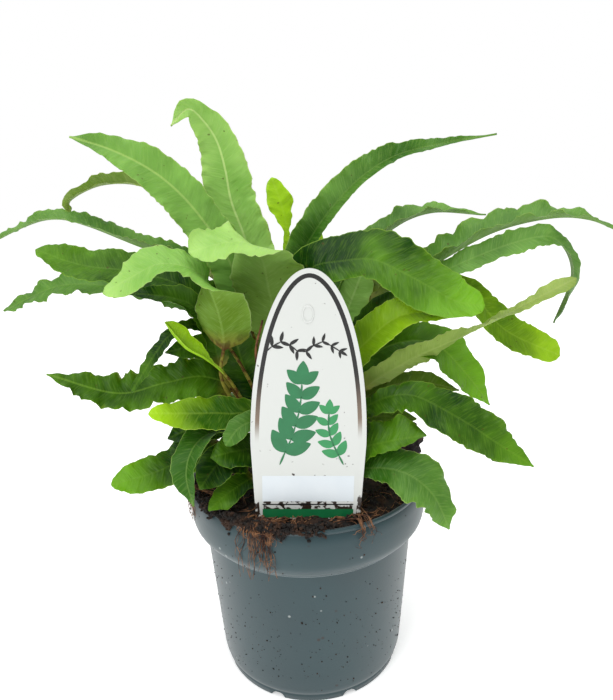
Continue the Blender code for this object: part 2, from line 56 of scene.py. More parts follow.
# Radius and height of the rounded collar's outside, from the body's top up to the lip
COLLAR_CURVE = [(57.0, 81.2), (59.5, 83.5), (61.4, 86.5), (62.1, 90.0), (62.3, 95.0), (62.0, 100.0)]
COLLAR_RADIUS = 62.3
BODY_TOP_RADIUS = 55.4
BODY_BOTTOM = 7.0
BODY_BOTTOM_RADIUS = 50.0
FOOT_RADIUS = 48.2
FOOT_WIDTH = 3.0
PAD_RADIUS = 22.0
CHANNEL_HEIGHT = 3.0
WALL = 1.1
LIP_WIDTH = 1.8
NOTCH_COUNT = 8
NOTCH_RADIUS = 4.0
NOTCH_CENTRE_HEIGHT = -1.0
POT_TURN_STEPS = 240
POT_PROFILE_SPACING = 9.0
SHARP_ANGLE = math.radians(50)
SPECKS_ON_POT = 900

# Peat and crown
PEAT_EDGE_HEIGHT = 103.4
PEAT_TOP = 105.0
PEAT_EDGE_RADIUS = 59.6
PEAT_LUMP_SIZE = 9.0
PEAT_ROUGHNESS = 1.6
PEAT_TURN_STEPS = 200
PEAT_PROFILE_SPACING = 1.1
CLUMP_CENTRE = (50.0, 15.0, 115.0)
CLUMP_HALF_SIZE = (14.0, 10.0, 11.5)
CRUMBS_ON_PEAT = 1300
CRUMBS_ON_LIP = 1500
CRUMBS_SPILLED = 520
GRAIN_KNOCK = 0.22
FIBRES_ON_PEAT = 170
CROWN_RADIUS = 25.0
CROWN_TOP = 112.0
SCALES_ON_CROWN = 420
OLD_STIPE_ROUTE = [(-7, -14, CROWN_TOP - 1), (-10, -18, 130), (-17, -22, 155), (-22, -25, 178),
                   (-18, -27, 196)]
OLD_STIPE_RADIUS = 1.2
OLD_STIPE_END_RADIUS = 0.5

# Root tufts over the lip: name, direction in degrees, drop, spread in degrees, number of fibres
TUFTS = [
    ("tuft_front_left", 247, 27, 4.0, 62),
    ("tuft_left", 205, 17, 3.5, 34),
    ("tuft_front", 293, 11, 2.5, 16),
]

# Label
LABEL_Y = -47.0
LABEL_THICKNESS = 0.8
LABEL_HALF_WIDTH = 26.0
LABEL_ARCH_HEIGHT = 79.4
LABEL_ARCH_FOOT = 143.0
LABEL_NECK = (24.3, 108.0)
LABEL_POINT = (5.0, 62.0)
LABEL_LEAN = math.radians(2.0)
ARCH_POINTS = 72
BORDER_INSET = 2.0
BORDER_WIDTH = 1.9
RING_X = -0.5
RING_Z = 203.0
RING_RADIUS = 2.3
RING_STRETCH = 1.55
RING_BEAD = 0.4
LABEL_WHITE = "#CBCECA"

# Print on the label. A sprig is its stem's points in x and z, and its leaves' length, width and spacing.
INK_FILM = 0.05
LEAF_STEP = 0.002
STEM_DEPTH = 0.1
STEM_WIDTH = 0.9
VINE_STEM_WIDTH = 0.6
BAR_WIDTH = 2 * (LABEL_HALF_WIDTH - 5.0)
SPRIG = ([(-13, 133), (-8, 145), (-4, 160), (-3, 172)], 13.0, 7.0, 7.0)
SMALL_SPRIG = ([(16, 133), (12, 141), (9, 150), (9, 158)], 8.5, 4.4, 5.5)
VINE = ([(-19, 186), (-11, 191), (-3, 186), (5, 191), (13, 187)], 5.2, 1.7, 4.4)
# Lower and upper edges of the bars printed across the label
PALE_PANEL = (114.5, 127.5)
BLACK_RULE = (112.6, 113.2)
GREEN_FOOT = (106.0, 110.5)

# Fronds
STIPE_RADIUS = 1.1
BLADE_HALF_THICKNESS = 0.26
BLADE_FOOT_SHARE = 0.16
MIDRIB_BULGE = 0.55
MIDRIB_HALF_WIDTH = 0.8
TOOTH_SPACING = 4.6
TOOTH_DEPTH = 1.8
RUFFLE_LENGTH = 2.6
DENT_LENGTH = 12.0
DENT_WIDTH = 9.0
DENT_DEPTH = 1.1
RING_SIDES = 36
RING_SPACING = 1.3
FAR_STALK_SHARE = 0.30
FAR_TIP_SHARE = 0.50

# Side veins and quilting of a blade, and how far the veins lean towards the tip and stray
VEIN_SPACING = 0.5882
QUILT_SPACING = 5.0
VEIN_LEAN = 0.55
VEIN_WANDER = 4.0
# How strongly the broad patches and the quilting paint light and shade onto a blade's green
PATCH_CONTRAST = 1.5
QUILT_CONTRAST = 0.3

# The photograph's camera
CAMERA_PLACE = (1.67, -302.2, 262.2)
CAMERA_PITCH = 0.286
CAMERA_ROLL = 0.031
FOCAL_PIXELS = 620.0
PICTURE_HEIGHT_PIXELS = 700.0
SENSOR = 36.0

# Light and floor of the stage. Each softbox is its name, place in metres, width in metres and power in watts.
SOFTBOXES = [("overhead", (0.0, -0.2, 1.6), 1.7, 17.0), ("key", (-0.7, -1.1, 1.1), 0.7, 7.0)]
LIGHT_AIM = (0.0, 0.0, 0.15)
ROOM_LIGHT = 0.62
FLOOR_GLOW = 0.36
FLOOR_HALF_SIZE = 3.0


@dataclass
class Frond:
    """One frond, in millimetres, with its folds and rolls in degrees. Lists run from stalk to tip."""

    name: str
    width: float
    stalk_share: float
    tip_share: float
    green: str
    route: list
    faces: list
    wave: float = 1.3
    wave_length: float = 21.0
    ruffle: float = 0.35
    fold: tuple = (8.0, 5.0)
    other_fold: tuple = ()
    roll: tuple = (0.0,)
    left: tuple = (1.0,)
    right: tuple = (1.0,)
    midrib: float = 0.0
    rib: float = 0.12
    blunt: bool = False
    # Painted light along the frond, stalk to tip: 0 paints its shaded green and 1 its lit green
    light: tuple = (0.5, 0.6)


# The route starts with x and y on the crown and goes on with x, y, z along the midrib.
# The faces are the directions of the blade's upper side.
FRONDS = [
    Frond("tall_upright", 27, 0.3, 0.6, "pale",
          [(-5, 7), (-20, 9, 182), (-26, 10, 224), (-33, 12, 247), (-35, 12, 262), (-38, 12, 275),
           (-43, 10, 284), (-50, 7, 290), (-59, 9, 283)],
          [(0, -1, 0)], wave=0.9, wave_length=27, ruffle=0.8, fold=(6, 8, 12, 30),
          left=(1, 0.9, 1.05, 0.85, 0.85), right=(1, 1.05, 1, 0.9, 1.0), rib=0.8, light=(1, 0.8, 0.65)),
    Frond("left_blade", 20, 0.42, 0.45, "mid",
          [(-9, 1), (-29, -1, 198), (-35, -5, 223), (-43, -9, 238), (-53, -12, 252), (-65, -14, 263),
           (-81, -16, 272), (-98, -18, 278)],
          [(0, -1, 0.5)], wave=1.0, wave_length=25, ruffle=0.8, fold=(10, 8, 18),
          left=(1, 1.05, 1.1, 1.1, 1.1), right=(1, 1, 1, 1.25, 1.7), rib=0.6, light=(0.95, 0.8)),
    Frond("curled_over", 36, 0.35, 0.6, "pale",
          [(-4, -5), (-11, -11, 180), (-15, -16, 208), (-17, -21, 223), (-22, -28, 231), (-33, -34, 232),
           (-47, -38, 229)],
          [(0, 1, 0), (0, 1, 0), (0, 1, 0.2), (0, -0.1, 1), (0, -0.8, 1)], wave=1.6, wave_length=19,
          ruffle=1.0, fold=(5,), left=(0.1, 0.25, 0.9, 1, 1, 1, 0.9, 0.8),
          right=(0.1, 0.25, 0.9, 1, 1, 1, 1, 1), light=(0.05, 0.3, 0.75, 0.85), blunt=True),
    Frond("left_folded", 23, 0.5, 0.6, "pale",
          [(-12, -8), (-32, -17, 148), (-39, -24, 168), (-36, -29, 187), (-38, -33, 206), (-44, -37, 220),
           (-58, -41, 225), (-71, -44, 220), (-83, -45, 214)],
          [(0.3, 1, 0), (0.3, 1, 0), (0.2, 1, 0.3), (0, -0.4, 1), (-0.2, -0.8, 1)], wave=1.6,
          wave_length=27, ruffle=0.8, fold=(18, 12, 4), left=(1.35, 1.25, 1, 1, 1),
          right=(1.35, 1.25, 1, 1, 1), light=(0.0, 0.15, 0.3, 0.45, 0.9), blunt=True),
    Frond("left_rolled_dark", 14, 0.5, 0.5, "dark",
          [(-15, -3), (-31, -10, 148), (-40, -16, 168), (-43, -19, 188), (-49, -21, 201), (-60, -23, 207),
           (-81, -28, 211)],
          [(0.6, -0.6, 0.4), (0, -0.8, 1)], wave=1.0, ruffle=0.8, fold=(20, 15), roll=(40,),
          light=(0.0, 0.15)),
    Frond("left_middle", 17, 0.4, 0.6, "dark",
          [(-12, 2), (-31, -3, 184), (-53, -8, 207), (-76, -12, 217), (-101, -16, 222), (-120, -18, 230)],
          [(0, -0.7, 1)], wave=0.6, ruffle=0.7, fold=(24, 12), left=(1.3, 1.6, 1.5), right=(1.1, 1.3, 1.3),
          light=(0.0, 0.15, 0.55), blunt=True),
    Frond("left_scalloped", 17, 0.38, 0.45, "mid",
          [(-14, 6), (-32, 4, 172), (-46, 5, 189), (-66, 6, 201), (-90, 6, 207), (-120, 5, 209),
           (-149, 2, 198)],
          [(0, -0.6, 1)], wave=1.3, wave_length=13, ruffle=1.2, fold=(35, 20, 10), left=(1.2,),
          light=(0.25, 0.4), blunt=True),
    Frond("left_long_arch", 15, 0.42, 0.5, "mid",
          [(-9, 11), (-27, 14, 185), (-52, 18, 215), (-82, 20, 227), (-107, 20, 238), (-123, 18, 242),
           (-140, 17, 238), (-165, 13, 226)],
          [(0.4, -0.4, 1), (0, -0.3, 1)], wave=0.5, wave_length=22, ruffle=1.0, fold=(60, 50, 20, 8),
          other_fold=(20, 8), left=(1.2,), right=(1.3,), midrib=0.15, light=(0.25, 0.45)),
    Frond("small_arch", 10, 0.55, 0.5, "olive",
          [(-8, 14), (-22, 19, 165), (-33, 25, 200), (-43, 28, 220), (-56, 28, 240), (-78, 27, 255),
           (-100, 29, 257), (-118, 30, 250), (-120, 30, 243)],
          [(0, -0.6, 1)], wave=0.6, ruffle=0.5, fold=(35, 30), left=(1.4,), right=(1.4,), light=(0.2, 0.0),
          blunt=True),
    Frond("left_low_wavy", 20, 0.36, 0.5, "dark",
          [(-17, 1), (-30, -6, 150), (-48, -11, 164), (-68, -15, 163), (-90, -22, 161), (-119, -29, 174)],
          [(0, -0.8, 1)], wave=1.6, wave_length=12, ruffle=1.8, fold=(12, 6), left=(1.7, 1.5, 1.2, 1, 1),
          right=(1.1,), rib=0.35, light=(0.1, 0.4, 0.5)),
    Frond("left_narrow_strap", 9, 0.55, 0.6, "dark",
          [(-11, -5), (-24, -12, 154), (-33, -13, 175), (-43, -12, 188), (-52, -19, 193), (-58, -28, 192),
           (-64, -32, 187), (-79, -35, 166)],
          [(0.2, -1, 0.4), (-0.4, -1, 0.5)], wave=0.5, fold=(12,), left=(0.8,), right=(0.8,),
          light=(0.0, 0.2), blunt=True),
    Frond("left_low_dark", 12, 0.5, 0.6, "dark",
          [(-17, 5), (-32, 2, 158), (-42, -2, 174), (-54, -8, 179), (-67, -13, 178)],
          [(0, -0.8, 0.8)], wave=1.2, left=(1.4,), right=(1.2,), light=(0.05, 0.2)),
    Frond("young_rolled", 12, 0.64, 0.75, "lime",
          [(-13, -12), (-28, -21, 151), (-36, -30, 171), (-44, -37, 182), (-52, -40, 189), (-59, -41, 200)],
          [(0.5, -0.5, 0.6)], wave=0.2, ruffle=0.1, fold=(35,), roll=(60,), left=(0.1, 0.2, 0.9, 1.2, 1.1),
          right=(0.1, 0.2, 0.9, 1.2, 1.1), light=(0.6, 0.8), blunt=True),
    Frond("left_lime", 14, 0.35, 0.55, "lime",
          [(-11, -16), (-22, -27, 147), (-36, -35, 154), (-50, -41, 157), (-69, -47, 160)],
          [(0, -0.8, 1)], wave=0.7, wave_length=18, ruffle=0.6, left=(0.3, 1, 1.4, 1.3, 1.3),
          right=(0.6, 1.3, 1.4, 1.2, 1.2), light=(0.0, 0.0, 0.0, 0.35, 1.0), blunt=True),
    Frond("left_low_green", 20, 0.38, 0.55, "dark",
          [(-21, -1), (-33, -7, 127), (-52, -20, 129), (-72, -32, 124), (-92, -40, 122)],
          [(-0.1, -0.9, 1)], wave=0.8, wave_length=13, ruffle=1.0, fold=(5,), light=(0.05, 0.3, 0.75),
          blunt=True),
    Frond("left_drooping", 14, 0.42, 0.55, "mid",
          [(-20, -8), (-30, -18, 137), (-42, -31, 144), (-50, -45, 143), (-53, -54, 134), (-50, -60, 121)],
          [(0, -0.7, 1), (-0.6, -0.9, 0.5)], wave=0.8, fold=(24,), left=(1.2,), right=(1.2,), rib=0.2,
          light=(0.05, 0.15)),
    Frond("left_dark_pocket", 13, 0.45, 0.6, "dark",
          [(-21, 3), (-31, -4, 138), (-48, -15, 142), (-67, -25, 138)],
          [(0, -0.8, 0.8)], wave=1.1, left=(1.6,), right=(1.5,), light=(0.05, 0.15)),
    Frond("left_dark_front", 16, 0.45, 0.6, "dark",
          [(-15, -14), (-27, -25, 127), (-40, -35, 130), (-50, -43, 120)],
          [(-0.2, -0.9, 0.8)], wave=1.1, ruffle=0.6, left=(1.3,), right=(1.2,), light=(0.1, 0.2)),
    Frond("left_front_small", 12, 0.5, 0.6, "mid",
          [(-2, -20), (-13, -30, 141), (-22, -38, 151), (-30, -43, 150), (-36, -46, 143)],
          [(-0.2, -0.9, 0.6)], wave=0.9, fold=(14,), light=(0.1, 0.3), blunt=True),
    Frond("left_front_low", 13, 0.45, 0.7, "dark",
          [(-5, -17), (-18, -28, 132), (-31, -39, 137), (-43, -47, 138)],
          [(-0.1, -0.9, 0.8)], wave=1.0, ruffle=0.6, left=(1.4,), right=(1.2,), light=(0.1, 0.35)),
    Frond("left_low_droop", 11, 0.45, 0.6, "dark",
          [(-10, -19), (-22, -29, 119), (-35, -39, 117), (-46, -47, 111)],
          [(-0.2, -0.8, 1)], wave=1.2, ruffle=0.7, left=(1.2,), right=(1.2,), light=(0.1, 0.4)),
    Frond("left_dark_upright", 16, 0.42, 0.7, "dark",
          [(-8, -3), (-20, -7, 140), (-28, -9, 162), (-32, -9, 178), (-34, -9, 191)],
          [(0.1, -1, 0.1)], wave=0.8, left=(1.3,), right=(1.3,), rib=0.3, light=(0.0, 0.1)),
    Frond("young_twisted", 11, 0.45, 0.6, "lime",
          [(-1, 9), (-6, 15, 188), (-6, 16, 222), (-8, 16, 242), (-13, 17, 258)],
          [(0, -1, 0), (0, -1, 0), (1, -0.6, 0), (0, -1, 0)], wave=0.5, wave_length=10, ruffle=1.0,
          left=(1.2, 1.3, 1.3, 1.2, 0.4, 1.6, 1.7), right=(1.2, 1.3, 1.3, 1.0, 0.35, 1.4, 1.4),
          light=(0.6, 0.9), blunt=True),
    Frond("young_small", 7, 0.6, 0.6, "lime",
          [(3, 10), (4, 12, 190), (7, 13, 214), (11, 13, 230)],
          [(0, -1, 0)], wave=0.6, light=(0.7, 0.9), blunt=True),
    Frond("right_upper_long", 16, 0.32, 0.4, "mid",
          [(1, 3), (-4, 5, 188), (-4, 4, 218), (4, 0, 236), (22, -6, 257), (42, -9, 269), (66, -10, 273),
           (89, -12, 274)],
          [(0.4, -1, 0), (0, -1, 0.3)], wave=1.2, wave_length=17, ruffle=1.0, fold=(6, 4),
          other_fold=(75, 60, 40), left=(1.3, 1.25, 1.1, 0.5), right=(1.0, 0.9, 0.7, 0.5), midrib=-0.3,
          light=(0.2, 0.25)),
    Frond("right_second", 14, 0.42, 0.5, "mid",
          [(7, 12), (14, 17, 180), (23, 19, 208), (44, 21, 230), (67, 24, 239), (97, 26, 236)],
          [(0, -0.4, 1)], wave=1.1, wave_length=18, ruffle=0.6, fold=(30, 10), other_fold=(70, 30),
          left=(1.4, 1.5, 1.2), right=(1.3,), midrib=-0.2, light=(0.15, 0.45)),
    Frond("right_long", 17, 0.38, 0.5, "mid",
          [(11, 7), (19, 10, 172), (37, 12, 197), (64, 12, 214), (95, 14, 230), (124, 15, 236),
           (146, 15, 234), (165, 13, 225)],
          [(0, -0.5, 1)], wave=1.7, wave_length=19, ruffle=0.9, fold=(12, 5), other_fold=(75, 60, 30),
          left=(1.5, 1.7, 1.7, 1.3), right=(1.2,), midrib=-0.25, light=(0.3, 0.6)),
    Frond("right_hooked", 14, 0.4, 0.75, "mid",
          [(12, 2), (20, 0, 170), (44, 0, 197), (74, 0, 213), (107, 0, 225), (124, -1, 225), (132, -3, 209),
           (124, -6, 185)],
          [(0, -0.4, 1), (0, -0.4, 1), (0, -0.4, 1), (0.9, -0.5, 0.6), (1, -0.6, 0)], wave=0.5, ruffle=0.5,
          fold=(14, 6, 14, 20), left=(1, 1, 1.4), right=(1, 1, 1.6), light=(0.0, 0.35, 0.45, 0.2)),
    Frond("right_pale_straight", 13, 0.3, 0.5, "olive",
          [(11, -10), (22, -19, 152), (46, -24, 172), (70, -26, 184), (92, -26, 194), (109, -24, 202),
           (126, -22, 210)],
          [(0, 1, 0.4), (0, 1, 0.4), (0, 1, 0.4), (0, 0.2, 1), (0, -0.8, 1)], wave=0.6, wave_length=24,
          ruffle=0.6, fold=(10, 5), left=(1, 1.05, 1.1, 1.1, 0.7, 1.6), right=(1, 1.05, 1.1, 1.1, 0.7, 1.5),
          light=(0.25, 0.5), blunt=True),
    Frond("right_broad", 29, 0.38, 0.75, "dark",
          [(3, -7), (0, -9, 191), (1, -12, 209), (6, -17, 218), (18, -22, 221), (32, -26, 222),
           (44, -30, 217), (57, -34, 210), (68, -37, 204), (80, -38, 202)],
          [(0.3, -0.9, 0.3), (0, -0.9, 1)], wave=1.8, wave_length=46, ruffle=0.6, fold=(24, 12, 4),
          left=(0.3, 0.6, 1.1, 1.1, 0.95), right=(0.4, 0.7, 0.9, 1.0, 0.9), light=(0.0, 0.0, 0.3, 1.1),
          blunt=True),
    Frond("right_lime_under", 20, 0.38, 0.45, "lime",
          [(8, -14), (15, -19, 153), (22, -24, 174), (31, -28, 186), (39, -31, 194), (47, -33, 198),
           (59, -35, 199), (72, -37, 198)],
          [(0, -0.9, 1)], wave=0.8, fold=(20, 14), light=(0.4, 0.65)),
    Frond("right_dark_under", 18, 0.32, 0.6, "dark",
          [(13, -5), (22, -11, 158), (36, -14, 175), (52, -16, 181), (66, -15, 177), (80, -14, 162),
           (92, -14, 146)],
          [(0, -0.8, 1), (0, -0.8, 1), (0.5, -0.9, 0.7)], wave=0.9, fold=(22, 12, 10),
          left=(1, 1, 1.4, 1.5), right=(1, 1, 1.4, 1.5), rib=0.3, light=(0.0, 0.05, 0.75, 1)),
    Frond("right_lime_hanging", 19, 0.4, 0.8, "lime",
          [(16, 4), (27, 5, 158), (44, 6, 182), (64, 8, 199), (86, 8, 197), (104, 4, 179), (131, 0, 166)],
          [(0, -0.8, 1), (0.2, -1, 0.8)], wave=0.8, wave_length=30, fold=(12,), left=(0.8, 1, 1.1),
          right=(0.8, 1, 1.1), light=(0.15, 0.25, 0.6), blunt=True),
    Frond("right_broad_low", 22, 0.28, 0.5, "dark",
          [(13, -14), (20, -24, 142), (33, -31, 156), (49, -37, 161), (70, -42, 151), (88, -46, 139),
           (103, -48, 129)],
          [(0.1, -1, 0.8)], wave=1.6, wave_length=18, ruffle=1.0, fold=(20, 14, 8),
          left=(0.2, 0.45, 0.9, 1.2, 1.2), right=(0.5, 0.8, 1.1, 1.2, 1.2), light=(0.05, 0.15, 0.6)),
    Frond("right_grey_curled", 14, 0.4, 0.5, "olive",
          [(18, -3), (28, -9, 146), (44, -12, 157), (62, -14, 158), (76, -16, 155)],
          [(0, -0.8, 1)], wave=1.2, fold=(10,), light=(0.0, 0.1)),
    Frond("right_low_front", 19, 0.38, 0.7, "dark",
          [(9, -20), (15, -30, 130), (29, -40, 138), (42, -45, 143), (54, -48, 146)],
          [(0, -0.9, 1)], wave=1.6, wave_length=16, ruffle=1.0, left=(1.2,), right=(1.1, 0.9, 0.5, 0.3),
          light=(0.05, 0.35)),
    Frond("right_drooping", 21, 0.3, 0.6, "mid",
          [(3, -21), (12, -32, 118), (28, -41, 127), (44, -48, 128), (56, -54, 120), (63, -59, 105)],
          [(0.1, -0.8, 1), (0.7, -0.9, 0.6)], wave=1.8, wave_length=22, ruffle=1.4, left=(1.2,),
          right=(0.2, 0.6, 1.2, 1.2, 1.2), light=(0.0, 0.0, 0.3, 0.6)),
    Frond("right_pale_behind_label", 18, 0.4, 0.8, "pale",
          [(5, 1), (12, 5, 165), (22, 9, 188), (32, 12, 212)],
          [(-0.2, -1, 0)], wave=0.8, rib=0.4, light=(0.6, 0.6), blunt=True),
    Frond("right_dark_rolled", 10, 0.45, 0.6, "dark",
          [(9, -3), (16, -6, 166), (27, -8, 186), (39, -11, 199), (52, -12, 205)],
          [(0, -0.8, 1)], wave=0.9, fold=(30,), roll=(40,), light=(0.1, 0.3)),
    Frond("right_dark_small", 10, 0.5, 0.6, "dark",
          [(17, -8), (24, -7, 155), (34, -7, 164), (48, -8, 171)],
          [(0, -0.8, 1)], wave=1.0, light=(0.1, 0.2)),
    Frond("right_under_grey", 12, 0.45, 0.6, "olive",
          [(18, -10), (25, -19, 141), (36, -25, 146), (53, -29, 146)],
          [(0, -0.8, 1)], wave=1.0, light=(0.2, 0.1)),
]

# Fronds on the far side: name, direction in degrees, root radius, top height, reach, tip height, width, green
FAR_FRONDS = [
    ("back_1", 92, 20, 160, 104, 130, 20, "mid"),
    ("back_2", 68, 20, 146, 86, 118, 20, "dark"),
    ("back_3", 116, 20, 150, 90, 120, 20, "dark"),
    ("back_4", 78, 17, 200, 94, 176, 20, "mid"),
    ("back_5", 104, 19, 182, 84, 168, 18, "dark"),
    ("back_6", 52, 17, 186, 80, 178, 18, "mid"),
    ("back_7", 128, 21, 158, 68, 150, 18, "mid"),
    ("back_8", 42, 21, 142, 66, 124, 18, "dark"),
    ("back_9", 145, 21, 140, 66, 118, 18, "dark"),
    ("back_10", 96, 12, 212, 60, 204, 18, "mid"),
]

# ShaderNodeMix gives its colour sockets no names of their own
MIX_FACTOR = 0
MIX_A = 6
MIX_B = 7
MIX_RESULT = 2


def linear(hex_color):
    """An sRGB hex colour as the linear RGBA that shader sockets take."""
    channels = [int(hex_color[start:start + 2], 16) / 255 for start in (1, 3, 5)]
    return (*[c / 12.92 if c <= 0.04045 else ((c + 0.055) / 1.055) ** 2.4 for c in channels], 1.0)


def add_node(tree, kind, inputs, output=0, **settings):
    """Add a node and give back one of its outputs.

    Inputs are numbers, hex colours or the sockets that feed it, and settings are its own properties.
    """
    made = tree.nodes.new("ShaderNode" + kind)
    for name, value in settings.items():
        setattr(made, name, value)
    for name, value in inputs.items():
        if isinstance(value, bpy.types.NodeSocket):
            tree.links.new(value, made.inputs[name])
        else:
            made.inputs[name].default_value = linear(value) if isinstance(value, str) else value
    return made.outputs[output]


def new_material(name, constants):
    """A material with its Principled shader, and what is the same all over set on that shader's sockets."""
    material = bpy.data.materials.new(name)
    material.use_nodes = True
    shader = material.node_tree.nodes["Principled BSDF"]
    for socket, value in constants.items():
        shader.inputs[socket].default_value = linear(value) if isinstance(value, str) else value
    return material, material.node_tree, shader


def coats(tree, surface, layers):
    """Lay colours over a surface in turn, each as strongly as its factor."""
    for factor, color in layers:
        surface = add_node(tree, "Mix", {MIX_FACTOR: factor, MIX_A: surface, MIX_B: color}, MIX_RESULT,
                           data_type="RGBA")
    return surface


def scale_for(size):
    """The texture scale on metre coordinates that makes a pattern's grain about a size in millimetres."""
    return 1.0 / (size * MM)


def leaf_material(name, light, shade, under, midrib, veined):
    """Living frond: a waxy upper side over a matt underside, oblique side veins and a pale thin margin that
    is partly a painted highlight; painted light and shade move its green between a shaded and a lit colour.
    """
    material, tree, shader = new_material(name, {
        "Specular IOR Level": 0.15, "Subsurface Weight": 0.10, "Subsurface Radius": (0.8, 1.0, 0.15),
        "Subsurface Scale": 1.2 * MM,
    })
    place = add_node(tree, "Attribute", {}, "Vector", attribute_name="blade_mm")
    blade = add_node(tree, "SeparateXYZ", {"Vector": place}).node.outputs
    marks = add_node(tree, "Attribute", {}, attribute_name="marks").node.outputs
    mark = add_node(tree, "SeparateColor", {"Color": marks["Color"]}).node.outputs
    upper_side, margin, stalk = mark["Red"], mark["Green"], mark["Blue"]
    from_midrib = add_node(tree, "Math", {0: blade["X"]}, operation="ABSOLUTE")
    solid = add_node(tree, "TexCoord", {}, "Object")
    patches = add_node(tree, "TexNoise", {"Vector": solid, "Scale": scale_for(29.41), "Detail": 3.0})
    puckers = add_node(tree, "TexNoise", {"Vector": solid, "Scale": scale_for(3.846), "Detail": 2.0})

    # Side veins leave the midrib at about 60 degrees and wander a little, and the blade is quilted between
    # bundles of them. Both are read in the blade's own millimetres.
    leaned = add_node(tree, "Math", {0: from_midrib, 1: -VEIN_LEAN, 2: blade["Y"]}, operation="MULTIPLY_ADD")
    along_vein = add_node(tree, "Math", {0: patches, 1: VEIN_WANDER, 2: leaned}, operation="MULTIPLY_ADD")
    patterns = []
    for spacing, stretch in ((VEIN_SPACING, 0.10), (QUILT_SPACING, 0.45)):
        across = add_node(tree, "Math", {0: blade["X"], 1: stretch}, operation="MULTIPLY")
        read_at = add_node(tree, "CombineXYZ", {"X": along_vein, "Y": across})
        pattern = add_node(tree, "TexNoise", {"Vector": read_at, "Scale": 1.0 / spacing, "Detail": 2.0})
        patterns.append(pattern)
    veins, quilting = patterns
    vein_lines = add_node(tree, "MapRange",
                          {"Value": veins, "From Min": 0.48, "From Max": 0.66, "To Max": veined},
                          interpolation_type="SMOOTHSTEP")

    # Painted patches of light and shade, with a little painted shade over the quilting, about the frond's own
    # painted light amount, as both noises lie about 0.5
    painted_lightness = marks["Alpha"]
    tone = add_node(tree, "Math", {0: patches, 1: PATCH_CONTRAST, 2: painted_lightness}, operation="MULTIPLY_ADD")
    tone = add_node(tree, "Math", {0: quilting, 1: QUILT_CONTRAST, 2: tone}, operation="MULTIPLY_ADD")
    tone = add_node(tree, "Math", {0: tone, 1: (PATCH_CONTRAST + QUILT_CONTRAST) / 2}, operation="SUBTRACT",
                    use_clamp=True)
    painted_tone_below = add_node(tree, "Math", {0: tone, 1: 0.8}, operation="MULTIPLY")
    # Upper and under sides are painted from their shaded green towards the lit green, the underside a little
    # less lit
    upper = coats(tree, shade, [(tone, light), (vein_lines, midrib)])
    lower = coats(tree, under, [(painted_tone_below, light), (vein_lines, midrib)])
    rib = add_node(tree, "MapRange",
                   {"Value": from_midrib, "From Min": 0.75, "From Max": 0.30, "To Max": blade["Z"]},
                   interpolation_type="SMOOTHSTEP")
    # Pale margin, partly the blade's own pale edge and partly a painted highlight on its lit edge
    rim = add_node(tree, "MapRange", {"Value": margin, "From Min": 0.955, "From Max": 1.0, "To Max": 0.7},
                   interpolation_type="SMOOTHSTEP")
    flecks = add_node(tree, "TexNoise", {"Vector": solid, "Scale": scale_for(2.381), "Detail": 1.0})
    freckles = add_node(tree, "MapRange",
                        {"Value": flecks, "From Min": 0.74, "From Max": 0.78, "To Max": 0.6},
                        interpolation_type="SMOOTHSTEP")
    hairs = add_node(tree, "MapRange", {"Value": puckers, "From Min": 0.45, "From Max": 0.65},
                     interpolation_type="SMOOTHSTEP")
    stem = coats(tree, "#8A8434", [(hairs, "#5A3D1E")])
    surface = coats(tree, lower, [(upper_side, upper), (rib, midrib), (rim, midrib), (freckles, "#4A3A12"),
                                  (stalk, stem)])
    tree.links.new(surface, shader.inputs["Base Color"])

    gloss = add_node(tree, "MapRange", {"Value": upper_side, "To Min": 0.60, "To Max": 0.38})
    tree.links.new(gloss, shader.inputs["Roughness"])
    relief = add_node(tree, "Math", {0: puckers, 1: 0.6}, operation="MULTIPLY")
    relief = add_node(tree, "Math", {0: veins, 1: 0.35, 2: relief}, operation="MULTIPLY_ADD")
    relief = add_node(tree, "Math", {0: quilting, 1: 3.0, 2: relief}, operation="MULTIPLY_ADD")
    bump = add_node(tree, "Bump", {"Height": relief, "Strength": 0.6, "Distance": 0.6 * MM})
    tree.links.new(bump, shader.inputs["Normal"])
    return material


